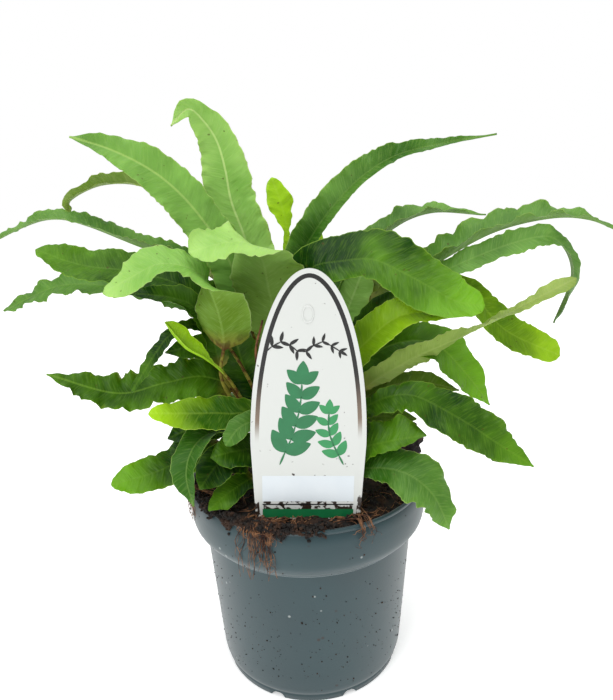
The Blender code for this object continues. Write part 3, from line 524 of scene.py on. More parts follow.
def pot_material():
    """Moulded polypropylene: a satin blue-grey skin with faint flow mottling, peat specks, pale dust and a
    painted highlight along the step.
    """
    material, tree, shader = new_material("moulded polypropylene", {
        "IOR": 1.49, "Sheen Weight": 0.22, "Sheen Roughness": 0.45,
    })
    solid = add_node(tree, "TexCoord", {}, "Object")
    cloud = add_node(tree, "TexNoise", {"Vector": solid, "Scale": scale_for(45.45), "Detail": 3.0})
    peat_cells = add_node(tree, "TexVoronoi", {"Vector": solid, "Scale": scale_for(8.333)})
    thinning = add_node(tree, "TexNoise", {"Vector": solid, "Scale": scale_for(16.67), "Detail": 1.0})
    dirty = add_node(tree, "MapRange", {"Value": thinning, "From Min": 0.52, "From Max": 0.60},
                     interpolation_type="SMOOTHSTEP")
    dirt = add_node(tree, "MapRange",
                    {"Value": peat_cells, "From Min": 0.16, "From Max": 0.07, "To Max": dirty},
                    interpolation_type="SMOOTHSTEP")
    dust_cells = add_node(tree, "TexVoronoi", {"Vector": solid, "Scale": scale_for(13.33)})
    dust = add_node(tree, "MapRange",
                    {"Value": dust_cells, "From Min": 0.07, "From Max": 0.03, "To Max": 0.6},
                    interpolation_type="SMOOTHSTEP")
    # A pale band along the edge of the step under the collar is a painted highlight
    height = add_node(tree, "SeparateXYZ", {"Vector": solid}, "Z")
    painted_step_highlight = 0.45
    for outer, inner in ((-0.6, -0.3), (0.3, 0.0)):
        painted_step_highlight = add_node(tree, "MapRange",
                          {"Value": height, "From Min": (COLLAR_BOTTOM + outer) * MM,
                           "From Max": (COLLAR_BOTTOM + inner) * MM, "To Max": painted_step_highlight},
                          interpolation_type="SMOOTHSTEP")
    surface = coats(tree, "#122C32", [(cloud, "#1F3F44"), (dirt, "#1D1712"), (dust, "#A9B0AE"),
                                      (painted_step_highlight, "#8E9A9C")])
    tree.links.new(surface, shader.inputs["Base Color"])
    satin = add_node(tree, "MapRange", {"Value": cloud, "To Min": 0.36, "To Max": 0.50})
    tree.links.new(satin, shader.inputs["Roughness"])
    grain = add_node(tree, "TexNoise", {"Vector": solid, "Scale": scale_for(1.111), "Detail": 2.0})
    bump = add_node(tree, "Bump", {"Height": grain, "Strength": 0.12, "Distance": 0.2 * MM})
    tree.links.new(bump, shader.inputs["Normal"])
    return material


def peat_material():
    """Moist milled peat: near black, with brown fibre showing in places and no gloss."""
    material, tree, shader = new_material("moist peat", {"Roughness": 0.92})
    solid = add_node(tree, "TexCoord", {}, "Object")
    lumps = add_node(tree, "TexNoise", {"Vector": solid, "Scale": scale_for(5.263), "Detail": 6.0})
    fibres = add_node(tree, "MapRange", {"Value": lumps, "From Min": 0.42, "From Max": 0.68},
                      interpolation_type="SMOOTHSTEP")
    tree.links.new(coats(tree, "#110C09", [(fibres, "#36200F")]), shader.inputs["Base Color"])
    bump = add_node(tree, "Bump", {"Height": lumps, "Strength": 0.9, "Distance": 1.5 * MM})
    tree.links.new(bump, shader.inputs["Normal"])
    return material


def fibre_material(name, light, dark, roughness):
    """Dry plant fibre: two browns in streaks a few millimetres long."""
    material, tree, shader = new_material(name, {"Roughness": roughness})
    solid = add_node(tree, "TexCoord", {}, "Object")
    grain = add_node(tree, "TexNoise", {"Vector": solid, "Scale": scale_for(4.167), "Detail": 3.0})
    streaks = add_node(tree, "MapRange", {"Value": grain, "From Min": 0.38, "From Max": 0.62},
                       interpolation_type="SMOOTHSTEP")
    tree.links.new(coats(tree, dark, [(streaks, light)]), shader.inputs["Base Color"])
    return material


def label_material():
    """Polystyrene sheet: bright white and smooth, splashed with peat near the soil."""
    material, tree, shader = new_material("white polystyrene sheet", {"Roughness": 0.28, "IOR": 1.55})
    solid = add_node(tree, "TexCoord", {}, "Object")
    height = add_node(tree, "SeparateXYZ", {"Vector": solid}, "Z")
    splash = add_node(tree, "TexNoise", {"Vector": solid, "Scale": scale_for(3.03), "Detail": 4.0})
    for start, full, amount in ((150, 104, 0.14), (121, 108, 0.16)):
        lower = add_node(tree, "MapRange",
                         {"Value": height, "From Min": start * MM, "From Max": full * MM, "To Max": amount},
                         interpolation_type="SMOOTHSTEP")
        splash = add_node(tree, "Math", {0: splash, 1: lower}, operation="ADD")
    wet = add_node(tree, "MapRange", {"Value": splash, "From Min": 0.70, "From Max": 0.78},
                   interpolation_type="SMOOTHSTEP")
    tree.links.new(coats(tree, LABEL_WHITE, [(wet, "#2A1E16")]), shader.inputs["Base Color"])
    return material


def ink_material(name, color, other, grain):
    """Printing ink on polystyrene: a thin gloss film, uneven in its tone at a grain of some millimetres."""
    material, tree, shader = new_material(name, {"Roughness": 0.3})
    solid = add_node(tree, "TexCoord", {}, "Object")
    uneven = add_node(tree, "TexNoise", {"Vector": solid, "Scale": scale_for(grain), "Detail": 3.0})
    tree.links.new(coats(tree, color, [(uneven, other)]), shader.inputs["Base Color"])
    return material


def border_material():
    """Black printed line that turns brown and runs out into the white towards its lower ends."""
    material, tree, shader = new_material("black border ink", {"Roughness": 0.28})
    solid = add_node(tree, "TexCoord", {}, "Object")
    height = add_node(tree, "SeparateXYZ", {"Vector": solid}, "Z")
    surface = "#050505"
    for start, full, color in ((178, 152, "#7A6858"), (156, 144, LABEL_WHITE)):
        lower = add_node(tree, "MapRange", {"Value": height, "From Min": start * MM, "From Max": full * MM},
                         interpolation_type="SMOOTHSTEP")
        surface = coats(tree, surface, [(lower, color)])
    tree.links.new(surface, shader.inputs["Base Color"])
    return material


def keep(bm, name, materials, slot, *replaced, smooth=True):
    """Turn a millimetre bmesh into a metre object that rides on the pot and stands for its CAD nodes."""
    bmesh.ops.scale(bm, vec=(MM, MM, MM), verts=bm.verts)
    mesh = bpy.data.meshes.new(name)
    bm.to_mesh(mesh)
    bm.free()
    for material in materials:
        mesh.materials.append(material)
    if smooth:
        mesh.shade_smooth()
    else:
        mesh.shade_flat()
    thing = bpy.data.objects.new(name, mesh)
    bpy.context.scene.collection.objects.link(thing)
    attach(thing, "root")
    if replaced:
        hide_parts(*replaced)
    return thing


def around(angle, radius):
    """The x and y at an angle and a radius from the pot's axis."""
    return radius * math.cos(angle), radius * math.sin(angle)


def smooth_line(points, spacing):
    """Catmull-Rom curve through the points, read at even steps of about the given spacing, and its length."""
    # The guide before the first point is straight below it, so that a stalk sets off upright
    first = points[0] * 2 - points[1]
    first.xy = points[0].xy
    guides = [first] + points + [points[-1] * 2 - points[-2]]
    fine = []
    for index in range(len(points) - 1):
        before, start_point, end_point, after = guides[index:index + 4]
        for step in range(CURVE_STEPS):
            t = step / CURVE_STEPS
            fine.append(0.5 * ((2 * start_point) + (end_point - before) * t
                               + (2 * before - 5 * start_point + 4 * end_point - after) * t ** 2
                               + (3 * start_point - before - 3 * end_point + after) * t ** 3))
    fine.append(points[-1])
    lengths = [0.0]
    for here, there in zip(fine, fine[1:]):
        lengths.append(lengths[-1] + (there - here).length)
    count = max(4, round(lengths[-1] / spacing) + 1)
    line = []
    segment = 0
    for step in range(count):
        target = lengths[-1] * step / (count - 1)
        while segment < len(fine) - 2 and lengths[segment + 1] < target:
            segment += 1
        span = lengths[segment + 1] - lengths[segment]
        line.append(fine[segment].lerp(fine[segment + 1], (target - lengths[segment]) / span))
    return line, lengths[-1]


def between(values, share):
    """The value at a share of the way along an evenly spaced list of numbers or vectors."""
    if len(values) == 1:
        return values[0]
    place = min(max(share, 0.0), 0.9999) * (len(values) - 1)
    index = int(place)
    part = place - index
    return values[index] * (1.0 - part) + values[index + 1] * part


def blade_share(along, tip_share, blunt):
    """Half width of the strap-shaped blade as a share of its widest, from its foot to its tip."""
    if along <= 0.0:
        return 0.0
    foot = min(1.0, along / BLADE_FOOT_SHARE)
    rise = math.sqrt(1.0 - (1.0 - foot) ** 2)
    tip = max(0.0, (along - tip_share) / (1.0 - tip_share))
    narrowing = max(0.0, 1.0 - tip ** 2.2)
    return rise * (math.sqrt(narrowing) if blunt else narrowing)


def tube(sides, rings):
    """A closed round bar of unit size in rings, whose vertices a caller then moves: z tells their ring."""
    bm = bmesh.new()
    bmesh.ops.create_cone(bm, cap_ends=True, segments=sides, radius1=1.0, radius2=1.0, depth=1.0)
    long_edges = [edge for edge in bm.edges if abs(edge.verts[0].co.z - edge.verts[1].co.z) > 0.5]
    bmesh.ops.subdivide_edges(bm, edges=long_edges, cuts=rings - 2, use_grid_fill=True)
    return bm


def half_section(shares, half_width, fold, roll):
    """Places across and above the midrib at each share of a half's width, and the surface's heading there."""
    across = 0.0
    above = 0.0
    last = 0.0
    places = []
    for share in shares:
        middle = (share + last) / 2
        heading = fold + roll * middle ** 2
        across += (share - last) * half_width * math.cos(heading)
        above += (share - last) * half_width * math.sin(heading)
        last = share
        places.append((across, above, fold + roll * share ** 2))
    return places


def frond_sections(frond, line, length, shares, wave_shift):
    """For each ring of a frond: its place, directions, breadth and the sections of its two toothed halves."""
    faces = [Vector(face) for face in frond.faces]
    last = len(line) - 1
    sections = []
    for ring, here in enumerate(line):
        share = ring / last
        ahead = line[min(ring + 1, last)] - line[max(ring - 1, 0)]
        ahead.normalize()
        upper = between(faces, share)
        upper = upper - ahead * upper.dot(ahead)
        upper.normalize()
        across = upper.cross(ahead)
        along = (share - frond.stalk_share) / (1.0 - frond.stalk_share)
        broad = blade_share(along, frond.tip_share, frond.blunt)
        stalk_half = STIPE_RADIUS * (1.0 - 0.6 * share)
        roll = math.radians(between(frond.roll, along))
        here = here + across * (frond.midrib * frond.width * broad)
        halves = []
        sides = ((frond.left, frond.fold), (frond.right, frond.other_fold or frond.fold))
        for side, (lobe, folds) in enumerate(sides):
            tooth = Vector((share * length / TOOTH_SPACING, 5.0 * side, wave_shift[side]))
            bite = TOOTH_DEPTH * abs(noise.noise(tooth)) - 0.6 * noise.noise(tooth * 2.3)
            half_width = max(stalk_half, broad * (frond.width / 2 * between(lobe, along) - bite))
            fold = math.radians(between(folds, along))
            halves.append((half_section(shares, half_width, fold, roll), half_width))
        sections.append((here, upper, across, along, broad, stalk_half, halves))
    return sections


def blade_swing(frond, travelled, sideways, edge, shift, dent_shift):
    """How far the blade swings up or down at a place: margin waves, fine ruffles and shallow dents."""
    turn = math.tau * travelled / frond.wave_length + shift
    turn += 2.2 * noise.noise(Vector((travelled / frond.wave_length * 0.6, shift, 0.0)))
    waves = frond.wave * math.sin(turn) * edge ** 2.2
    ruffles = frond.ruffle * edge ** 4 * noise.noise(Vector((travelled / RUFFLE_LENGTH, shift, 3.0))) * 2.0
    dent_place = Vector((travelled / DENT_LENGTH, sideways / DENT_WIDTH, dent_shift))
    dents = DENT_DEPTH * edge * noise.noise(dent_place)
    return waves + ruffles + dents


def half_thickness(corner, share, sideways, stalk_half, flat):
    """How far a corner of the unit tube goes above or below the blade's middle sheet, and 0 at the margin."""
    body = math.sqrt(1.0 - min(1.0, corner.x ** 2))
    rounded = body * stalk_half
    lamina = body * BLADE_HALF_THICKNESS
    if corner.y < 0:
        lamina += MIDRIB_BULGE * (1.0 - 0.7 * share) * math.exp(-(sideways / MIDRIB_HALF_WIDTH) ** 2)
    thickness = rounded * (1.0 - flat) + min(lamina, rounded + lamina * flat) * flat
    return math.copysign(thickness, corner.y) if abs(corner.y) > NEAR_ZERO else 0.0


def grow_frond(frond, materials):
    """One frond as a closed tube that is round on the crown and flattens into the thin waved blade."""
    rng = random.Random(frond.name)
    root = Vector((frond.route[0][0], frond.route[0][1], CROWN_TOP - 1.5))
    line, length = smooth_line([root] + [Vector(point) for point in frond.route[1:]], RING_SPACING)
    shares = [math.sin(math.tau * step / RING_SIDES) ** 1.5 for step in range(RING_SIDES // 4 + 1)]
    wave_shift = (rng.uniform(0, 9), rng.uniform(0, 9))
    sections = frond_sections(frond, line, length, shares, wave_shift)
    bm = tube(RING_SIDES, len(line))
    blade_mm = bm.verts.layers.float_vector.new("blade_mm")
    marks = bm.verts.layers.float_color.new("marks")
    for vert in bm.verts:
        share = vert.co.z + 0.5
        here, upper, across, along, broad, stalk_half, halves = sections[round(share * (len(line) - 1))]
        half = 0 if vert.co.x >= 0 else 1
        direction = (1.0, -1.0)[half]
        places, half_width = halves[half]
        step = round(math.asin(min(1.0, abs(vert.co.x))) / math.tau * RING_SIDES)
        sideways, above, heading = places[step]
        edge = shares[step]
        flat = min(1.0, broad * 4.0)
        travelled = share * length
        swing = blade_swing(frond, travelled, direction * sideways, edge, wave_shift[half], wave_shift[0])
        thickness = half_thickness(vert.co, share, sideways, stalk_half, flat)
        lift = (above + swing * min(1.0, half_width / 6.0)) * flat + thickness * math.cos(heading * flat)
        slide = sideways * flat + abs(vert.co.x) * half_width * (1.0 - flat)
        slide -= thickness * math.sin(heading * flat)
        vert.co = here + across * (direction * slide) + upper * lift
        side = 1.0 if thickness > NEAR_ZERO else (0.0 if thickness < -NEAR_ZERO else 0.5)
        stalk = 1.0 - min(1.0, max(0.0, along) * 9.0)
        vert[blade_mm] = Vector((direction * edge * half_width, travelled, frond.rib))
        # The marks' alpha carries the frond's painted light at this ring
        vert[marks] = Vector((side, edge * min(1.0, broad * 1.5), stalk, between(frond.light, along)))
    keep(bm, "leaf_" + frond.name, [materials[frond.green]], "leaf_" + frond.green, "frond_" + frond.name)


def far_frond(name, direction, root_radius, top_height, reach, tip_height, width, green):
    """A frond of the far side, arching in one upright plane through the crown."""
    outward = Vector((*around(math.radians(direction), 1.0), 0.0))
    rise = top_height - CROWN_TOP
    route = [tuple((outward * root_radius).xy)]
    for share, climb in ((0.10, 0.55), (0.38, 0.92), (0.68, 1.0)):
        radius = root_radius + share * (reach - root_radius)
        route.append(tuple(outward * radius + Vector((0.0, 0.0, CROWN_TOP + rise * climb))))
    route.append(tuple(outward * reach + Vector((0.0, 0.0, tip_height))))
    up = Vector((0.0, 0.0, 1.0))
    faces = [up * 0.3 - outward, up - outward * 0.3, up, up + outward * 0.5]
    return Frond(name, width, FAR_STALK_SHARE, FAR_TIP_SHARE, green, route, faces, wave=1.6)


def turned_body(profile, steps):
    """A closed body of revolution from a profile of radius and height that starts and ends on the axis."""
    bm = bmesh.new()
    verts = [bm.verts.new((radius, 0.0, height)) for radius, height in profile]
    edges = [bm.edges.new(pair) for pair in zip(verts, verts[1:])]
    bmesh.ops.spin(bm, geom=verts + edges, cent=(0, 0, 0), axis=(0, 0, 1), angle=math.tau, steps=steps,
                   use_merge=True)
    bmesh.ops.remove_doubles(bm, verts=bm.verts, dist=0.001)
    bmesh.ops.recalc_face_normals(bm, faces=bm.faces)
    return bm


def fine_profile(corners, spacing):
    """The same profile with points added so that no stretch is longer than the spacing."""
    profile = [corners[0]]
    for start_point, end_point in zip(corners, corners[1:]):
        gap = math.dist(start_point, end_point)
        count = max(1, math.ceil(gap / spacing))
        for step in range(1, count + 1):
            part = step / count
            profile.append((start_point[0] + (end_point[0] - start_point[0]) * part,
                            start_point[1] + (end_point[1] - start_point[1]) * part))
    return profile


def inner_radius(height):
    """Radius of the pot's inner wall below the collar."""
    share = (height - BODY_BOTTOM) / (COLLAR_BOTTOM - BODY_BOTTOM)
    return BODY_BOTTOM_RADIUS + share * (BODY_TOP_RADIUS - BODY_BOTTOM_RADIUS) - WALL


def outer_radius(height):
    """Radius of the pot's outside at a height."""
    wall = [(BODY_BOTTOM_RADIUS, BODY_BOTTOM), (BODY_TOP_RADIUS, COLLAR_BOTTOM), *COLLAR_CURVE,
            (RIM_RADIUS, POT_HEIGHT)]
    for (low_radius, low), (high_radius, high) in zip(wall, wall[1:]):
        if height <= high:
            return low_radius + (height - low) / (high - low) * (high_radius - low_radius)
    return RIM_RADIUS


def pot_profile():
    """Section of the pot as radius and height, from the floor's inside over the lip to the pad underneath."""
    curve, _ = smooth_line([Vector((radius, 0.0, height)) for radius, height in COLLAR_CURVE], 1.4)
    inside = [
        (0.0, WALL),
        (PAD_RADIUS - 1.0, WALL),
        (PAD_RADIUS - 0.6, CHANNEL_HEIGHT + WALL),
        (BODY_BOTTOM_RADIUS - 3.2, CHANNEL_HEIGHT + WALL),
        (inner_radius(BODY_BOTTOM), BODY_BOTTOM),
        (inner_radius(COLLAR_BOTTOM), COLLAR_BOTTOM + 0.3),
        *[(point.x - WALL, point.z + WALL) for point in curve],
        (RIM_RADIUS - LIP_WIDTH, POT_HEIGHT - 0.5),
    ]
    lip = [
        (RIM_RADIUS - 1.65, POT_HEIGHT - 0.15),
        (RIM_RADIUS - 1.3, POT_HEIGHT),
        (RIM_RADIUS - 0.6, POT_HEIGHT),
        (RIM_RADIUS - 0.2, POT_HEIGHT - 0.12),
        (RIM_RADIUS, POT_HEIGHT - 0.45),
        (RIM_RADIUS, POT_HEIGHT - 1.5),
        (RIM_RADIUS - 0.15, POT_HEIGHT - 1.8),
        (RIM_RADIUS - 0.55, POT_HEIGHT - 1.95),
        (RIM_RADIUS - 0.6, POT_HEIGHT - 2.3),
        (RIM_RADIUS - 0.35, POT_HEIGHT - 2.6),
    ]
    collar = [
        *[(point.x, point.z) for point in reversed(curve)],
        (BODY_TOP_RADIUS + 0.6, COLLAR_BOTTOM + 0.3),
        (BODY_TOP_RADIUS + 0.65, COLLAR_BOTTOM),
        (BODY_TOP_RADIUS + 0.45, COLLAR_BOTTOM - 0.35),
        (BODY_TOP_RADIUS, COLLAR_BOTTOM - 0.6),
    ]
    body = [
        (BODY_BOTTOM_RADIUS + 0.2, BODY_BOTTOM + 1.8),
        (BODY_BOTTOM_RADIUS - 0.1, BODY_BOTTOM),
        (BODY_BOTTOM_RADIUS - 0.5, BODY_BOTTOM - 1.4),
        (BODY_BOTTOM_RADIUS - 1.2, BODY_BOTTOM - 2.5),
        (FOOT_RADIUS + 0.8, BODY_BOTTOM - 3.3),
        (FOOT_RADIUS + 0.1, BODY_BOTTOM - 3.7),
        (FOOT_RADIUS, BODY_BOTTOM - 4.2),
        (FOOT_RADIUS, 0.4),
        (FOOT_RADIUS - 0.4, 0.0),
        (FOOT_RADIUS - FOOT_WIDTH + 0.4, 0.0),
        (FOOT_RADIUS - FOOT_WIDTH, CHANNEL_HEIGHT),
        (PAD_RADIUS + 0.6, CHANNEL_HEIGHT),
        (PAD_RADIUS, 0.0),
        (0.0, 0.0),
    ]
    return inside + lip + collar + body


def make_pot(material):
    """Moulded pot: rolled lip with a groove under it, rounded collar, step, taper and notched foot ring."""
    bm = turned_body(fine_profile(pot_profile(), POT_PROFILE_SPACING), POT_TURN_STEPS)
    notch_turn = math.tau / NOTCH_COUNT
    for vert in bm.verts:
        radius = vert.co.xy.length
        on_foot = FOOT_RADIUS - FOOT_WIDTH - 0.1 < radius < FOOT_RADIUS + 0.05 and vert.co.z < CHANNEL_HEIGHT
        if not on_foot:
            continue
        angle = math.atan2(vert.co.y, vert.co.x) % notch_turn - notch_turn / 2
        arch = math.sqrt(max(0.0, NOTCH_RADIUS ** 2 - (angle * radius) ** 2)) + NOTCH_CENTRE_HEIGHT
        vert.co.z = max(vert.co.z, min(arch, CHANNEL_HEIGHT - 0.1))
    pot = keep(bm, "nursery_pot", [material], "pot_plastic", "pot")
    pot.data.set_sharp_from_angle(angle=SHARP_ANGLE)


def peat_height(x, y):
    """Height of the peat's uneven surface, in millimetres."""
    radius = math.hypot(x, y)
    dome = PEAT_TOP - (PEAT_TOP - PEAT_EDGE_HEIGHT) * (radius / PEAT_EDGE_RADIUS) ** 3
    rough = noise.fractal(Vector((x / PEAT_LUMP_SIZE, y / PEAT_LUMP_SIZE, 4.0)), 0.8, 2.2, 4)
    return dome + PEAT_ROUGHNESS * rough + 1.2


def make_peat(material):
    """Root ball: peat that fills the pot under an uneven crumbly top."""
    ball = [
        (0.0, WALL + 0.4),
        (PAD_RADIUS - 1.4, WALL + 0.4),
        (PAD_RADIUS - 1.0, CHANNEL_HEIGHT + WALL + 0.4),
        (BODY_BOTTOM_RADIUS - 4.0, CHANNEL_HEIGHT + WALL + 0.4),
        (inner_radius(BODY_BOTTOM) - 0.5, BODY_BOTTOM + 1.0),
        (inner_radius(COLLAR_BOTTOM) - 0.5, COLLAR_BOTTOM + 0.8),
        *[(radius - WALL - 0.5, height + WALL + 0.5) for radius, height in COLLAR_CURVE],
        (PEAT_EDGE_RADIUS, PEAT_EDGE_HEIGHT - 1.0),
    ]
    top = fine_profile([(PEAT_EDGE_RADIUS, PEAT_EDGE_HEIGHT), (0.0, PEAT_TOP)], PEAT_PROFILE_SPACING)
    bm = turned_body(ball + top, PEAT_TURN_STEPS)
    for vert in bm.verts:
        if vert.co.z >= PEAT_EDGE_HEIGHT - 0.01:
            vert.co.z = peat_height(vert.co.x, vert.co.y)
    keep(bm, "peat", [material], "peat", "root_ball")


def make_peat_clump(material):
    """Crumbly clump of peat that stands up beside the right-hand rim and rests on the peat and the lip."""
    bm = bmesh.new()
    bmesh.ops.create_icosphere(bm, subdivisions=5, radius=1.0)
    for vert in bm.verts:
        bump = 1.0 + 0.10 * math.sin(7.0 * vert.co.x + 2.0) * math.cos(6.0 * vert.co.y + 9.0 * vert.co.z)
        bump += 0.14 * noise.fractal(vert.co * 3.0, 0.8, 2.1, 5)
        vert.co = Vector([middle + half * place * bump
                          for middle, half, place in zip(CLUMP_CENTRE, CLUMP_HALF_SIZE, vert.co)])
        vert.co.z = max(vert.co.z, PEAT_TOP if vert.co.xy.length < RIM_RADIUS - 4.0 else POT_HEIGHT + 0.3)
    keep(bm, "peat_clump", [material], "peat", "peat_lump")


def add_copy(bm, unit):
    """Add a copy of a small mesh to a growing one and give back its vertices."""
    bm.from_mesh(unit)
    bm.verts.ensure_lookup_table()
    return bm.verts[-len(unit.vertices):]


def scatter_crumbs(name, spots, material, rng):
    """Grains of peat, each a knocked-about twenty-faced ball at a spot of x, y, z and radius."""
    ball = bmesh.new()
    bmesh.ops.create_icosphere(ball, subdivisions=1, radius=1.0)
    unit = bpy.data.meshes.new("unit_grain")
    ball.to_mesh(unit)
    ball.free()
    bm = bmesh.new()
    for x, y, z, radius in spots:
        stretch = Vector((rng.uniform(0.7, 1.3), rng.uniform(0.7, 1.3), rng.uniform(0.6, 1.0)))
        turn = Matrix.Rotation(rng.uniform(0, math.tau), 4, Vector((rng.random(), rng.random(), 1.0)))
        place = Matrix.Translation((x, y, z)) @ turn @ Matrix.Diagonal((*(stretch * radius), 1.0))
        for vert in add_copy(bm, unit):
            knock = Vector((rng.uniform(-1, 1), rng.uniform(-1, 1), rng.uniform(-1, 1))) * GRAIN_KNOCK
            vert.co = place @ (vert.co + knock)
    bpy.data.meshes.remove(unit)
    keep(bm, name, [material], "peat", smooth=False)


def loose_peat(rng):
    """Spots for crumbs: all over the peat, heaped on the lip at the front left and spilled over it there."""
    spots = []
    for _ in range(CRUMBS_ON_PEAT):
        angle = rng.uniform(0, math.tau)
        radius = PEAT_EDGE_RADIUS - 0.8 - abs(rng.gauss(0, 12))
        size = rng.uniform(0.35, 1.2)
        x, y = around(angle, radius)
        spots.append((x, y, peat_height(x, y) + size * 0.4, size))
    for _ in range(CRUMBS_ON_LIP):
        angle = math.radians(rng.triangular(196, 284, 240))
        radius = rng.uniform(55.0, RIM_RADIUS + 0.6)
        size = rng.uniform(0.3, 1.0)
        heap = rng.uniform(0.0, 3.6) * math.sin(math.pi * (radius - 54.0) / 9.0)
        base = POT_HEIGHT if radius > RIM_RADIUS - LIP_WIDTH else PEAT_EDGE_HEIGHT + 1.5
        spots.append((*around(angle, radius), base + heap + size * 0.4, size))
    for _ in range(CRUMBS_SPILLED):
        angle = math.radians(rng.triangular(198, 280, 236))
        clump = max(0.0, 0.35 + 1.6 * noise.noise(Vector((angle * 9.0, 2.0, 0.0))))
        size = rng.uniform(0.3, 1.1)
        spill = abs(rng.gauss(0, 2.6)) * clump
        radius = outer_radius(POT_HEIGHT - spill) + size * rng.uniform(0.1, 0.8)
        spots.append((*around(angle, radius), POT_HEIGHT - spill, size))
    return spots


def pot_specks(rng):
    """Spots for specks of peat that stick to the pot's outside, most of them low down."""
    spots = []
    for _ in range(SPECKS_ON_POT):
        height = rng.triangular(BODY_BOTTOM, POT_HEIGHT - 4.0, 14.0)
        angle = rng.uniform(0, math.tau)
        size = min(0.8, 0.14 + abs(rng.gauss(0, 0.17)))
        spots.append((*around(angle, outer_radius(height)), height, size))
    return spots


def unit_thread(sides, rings):
    """The closed unit tube of so many sides and rings, made once."""
    name = f"unit_thread_{sides}_{rings}"
    if name not in bpy.data.meshes:
        bm = tube(sides, rings)
        bm.to_mesh(bpy.data.meshes.new(name))
        bm.free()
    return bpy.data.meshes[name]


def thread(bm, points, radius, end_radius, sides=5, spacing=2.2):
    """A thin root, hair or stalk along a few points, narrowing to its end."""
    line, _ = smooth_line([Vector(point) for point in points], spacing)
    last = len(line) - 1
    steps = []
    for index, here in enumerate(line):
        ahead = (line[min(index + 1, last)] - line[max(index - 1, 0)]).normalized()
        side = ahead.cross(Vector((0.31, 0.17, 0.93))).normalized()
        steps.append((here, side, ahead.cross(side), radius + (end_radius - radius) * index / last))
    for vert in add_copy(bm, unit_thread(sides, len(line))):
        here, side, other, size = steps[round((vert.co.z + 0.5) * last)]
        vert.co = here + (side * vert.co.x + other * vert.co.y) * size


def surface_fibres(material, rng):
    """Reddish root fibres that lie on the peat and cross it in loose loops, most of them by the rim."""
    bm = bmesh.new()
    for _ in range(FIBRES_ON_PEAT):
        angle = rng.uniform(0, math.tau)
        x, y = around(angle, PEAT_EDGE_RADIUS - 1.5 - abs(rng.gauss(0, 9)))
        heading = rng.uniform(0, math.tau)
        points = []
        for step in range(rng.randint(4, 8)):
            hop = rng.uniform(0.2, 2.4) if step % 2 else 0.3
            points.append((x, y, peat_height(x, y) + hop))
            heading += rng.uniform(-0.9, 0.9)
            reach = rng.uniform(2.0, 4.5)
            x, y = x + reach * math.cos(heading), y + reach * math.sin(heading)
            over = math.hypot(x, y) / (PEAT_EDGE_RADIUS - 1.0)
            if over > 1.0:
                x, y = x / over, y / over
                heading += 2.0
        thread(bm, points, rng.uniform(0.16, 0.34), 0.1)
    keep(bm, "fibres_on_peat", [material], "roots")


def hanging_tuft(name, direction, drop, spread, count, material, rng):
    """Root fibres that lie on the peat, cross the lip and hang outside the collar in loose curls."""
    bm = bmesh.new()
    bundles = [direction + rng.uniform(-1.8, 1.8) * spread for _ in range(max(2, count // 8))]
    for _ in range(count):
        turn = math.radians(rng.choice(bundles) + rng.gauss(0, 0.9))
        fall = drop * rng.uniform(0.12, 1.0) ** 1.7
        steps = [(turn + rng.gauss(0, 0.09), rng.uniform(47, 55), PEAT_EDGE_HEIGHT + rng.uniform(1.5, 3.0)),
                 (turn, RIM_RADIUS - 2.4, POT_HEIGHT + rng.uniform(0.5, 3.0)),
                 (turn, RIM_RADIUS + rng.uniform(0.4, 2.0), POT_HEIGHT - rng.uniform(0.3, 1.5))]
        for share in (0.3, 0.55, 0.8, 1.0):
            turn += rng.gauss(0, 0.020)
            steps.append((turn, COLLAR_RADIUS + rng.uniform(0.1, 2.2), POT_HEIGHT - share * fall))
        if rng.random() < 0.35:
            curl = turn + rng.gauss(0, 0.05)
            steps.append((curl, COLLAR_RADIUS + rng.uniform(0.2, 2.0), POT_HEIGHT - 0.8 * fall))
        points = [(*around(angle, reach), height) for angle, reach, height in steps]
        thread(bm, points, rng.uniform(0.12, 0.40), 0.08)
    keep(bm, name, [material], "roots", "root_" + name)


def make_crown(material, scale_material, rng):
    """Rhizome mound with a rough top and a coat of narrow brown scales."""
    mound = [
        (CROWN_RADIUS - 1.5, PEAT_TOP),
        (CROWN_RADIUS, PEAT_TOP + 2.0),
        (CROWN_RADIUS, CROWN_TOP - 2.5),
        (CROWN_RADIUS - 2.0, CROWN_TOP),
        (0.0, CROWN_TOP),
    ]
    bm = turned_body([(0.0, PEAT_TOP)] + fine_profile(mound, 1.6), 96)
    for vert in bm.verts:
        rough = noise.fractal(vert.co / 5.0, 0.9, 2.1, 3)
        vert.co.z += 0.9 * rough * min(1.0, vert.co.z - PEAT_TOP)
    keep(bm, "rhizome", [material], "rhizome", "crown")
    bm = bmesh.new()
    for _ in range(SCALES_ON_CROWN):
        angle = rng.uniform(0, math.tau)
        root = Vector((*around(angle, CROWN_RADIUS * math.sqrt(rng.random())), CROWN_TOP - 0.5))
        outward = Vector((*around(angle, 1.0), 0.0))
        lean = outward * rng.uniform(-1.0, 2.5) + Vector((rng.gauss(0, 1), rng.gauss(0, 1), 0.0))
        height = rng.uniform(3.0, 8.0)
        middle = root + lean * 0.4 + Vector((0, 0, height * 0.5))
        tip = root + lean + Vector((0, 0, height))
        thread(bm, [root, middle, tip], rng.uniform(0.25, 0.5), 0.05, sides=4, spacing=3.0)
    keep(bm, "rhizome_scales", [scale_material], "rhizome")


def make_dead_stipe(material):
    """Brown stalk left from an old frond."""
    bm = bmesh.new()
    thread(bm, OLD_STIPE_ROUTE, OLD_STIPE_RADIUS, OLD_STIPE_END_RADIUS, sides=10, spacing=1.5)
    keep(bm, "dead_stipe", [material], "rhizome", "old_stipe")


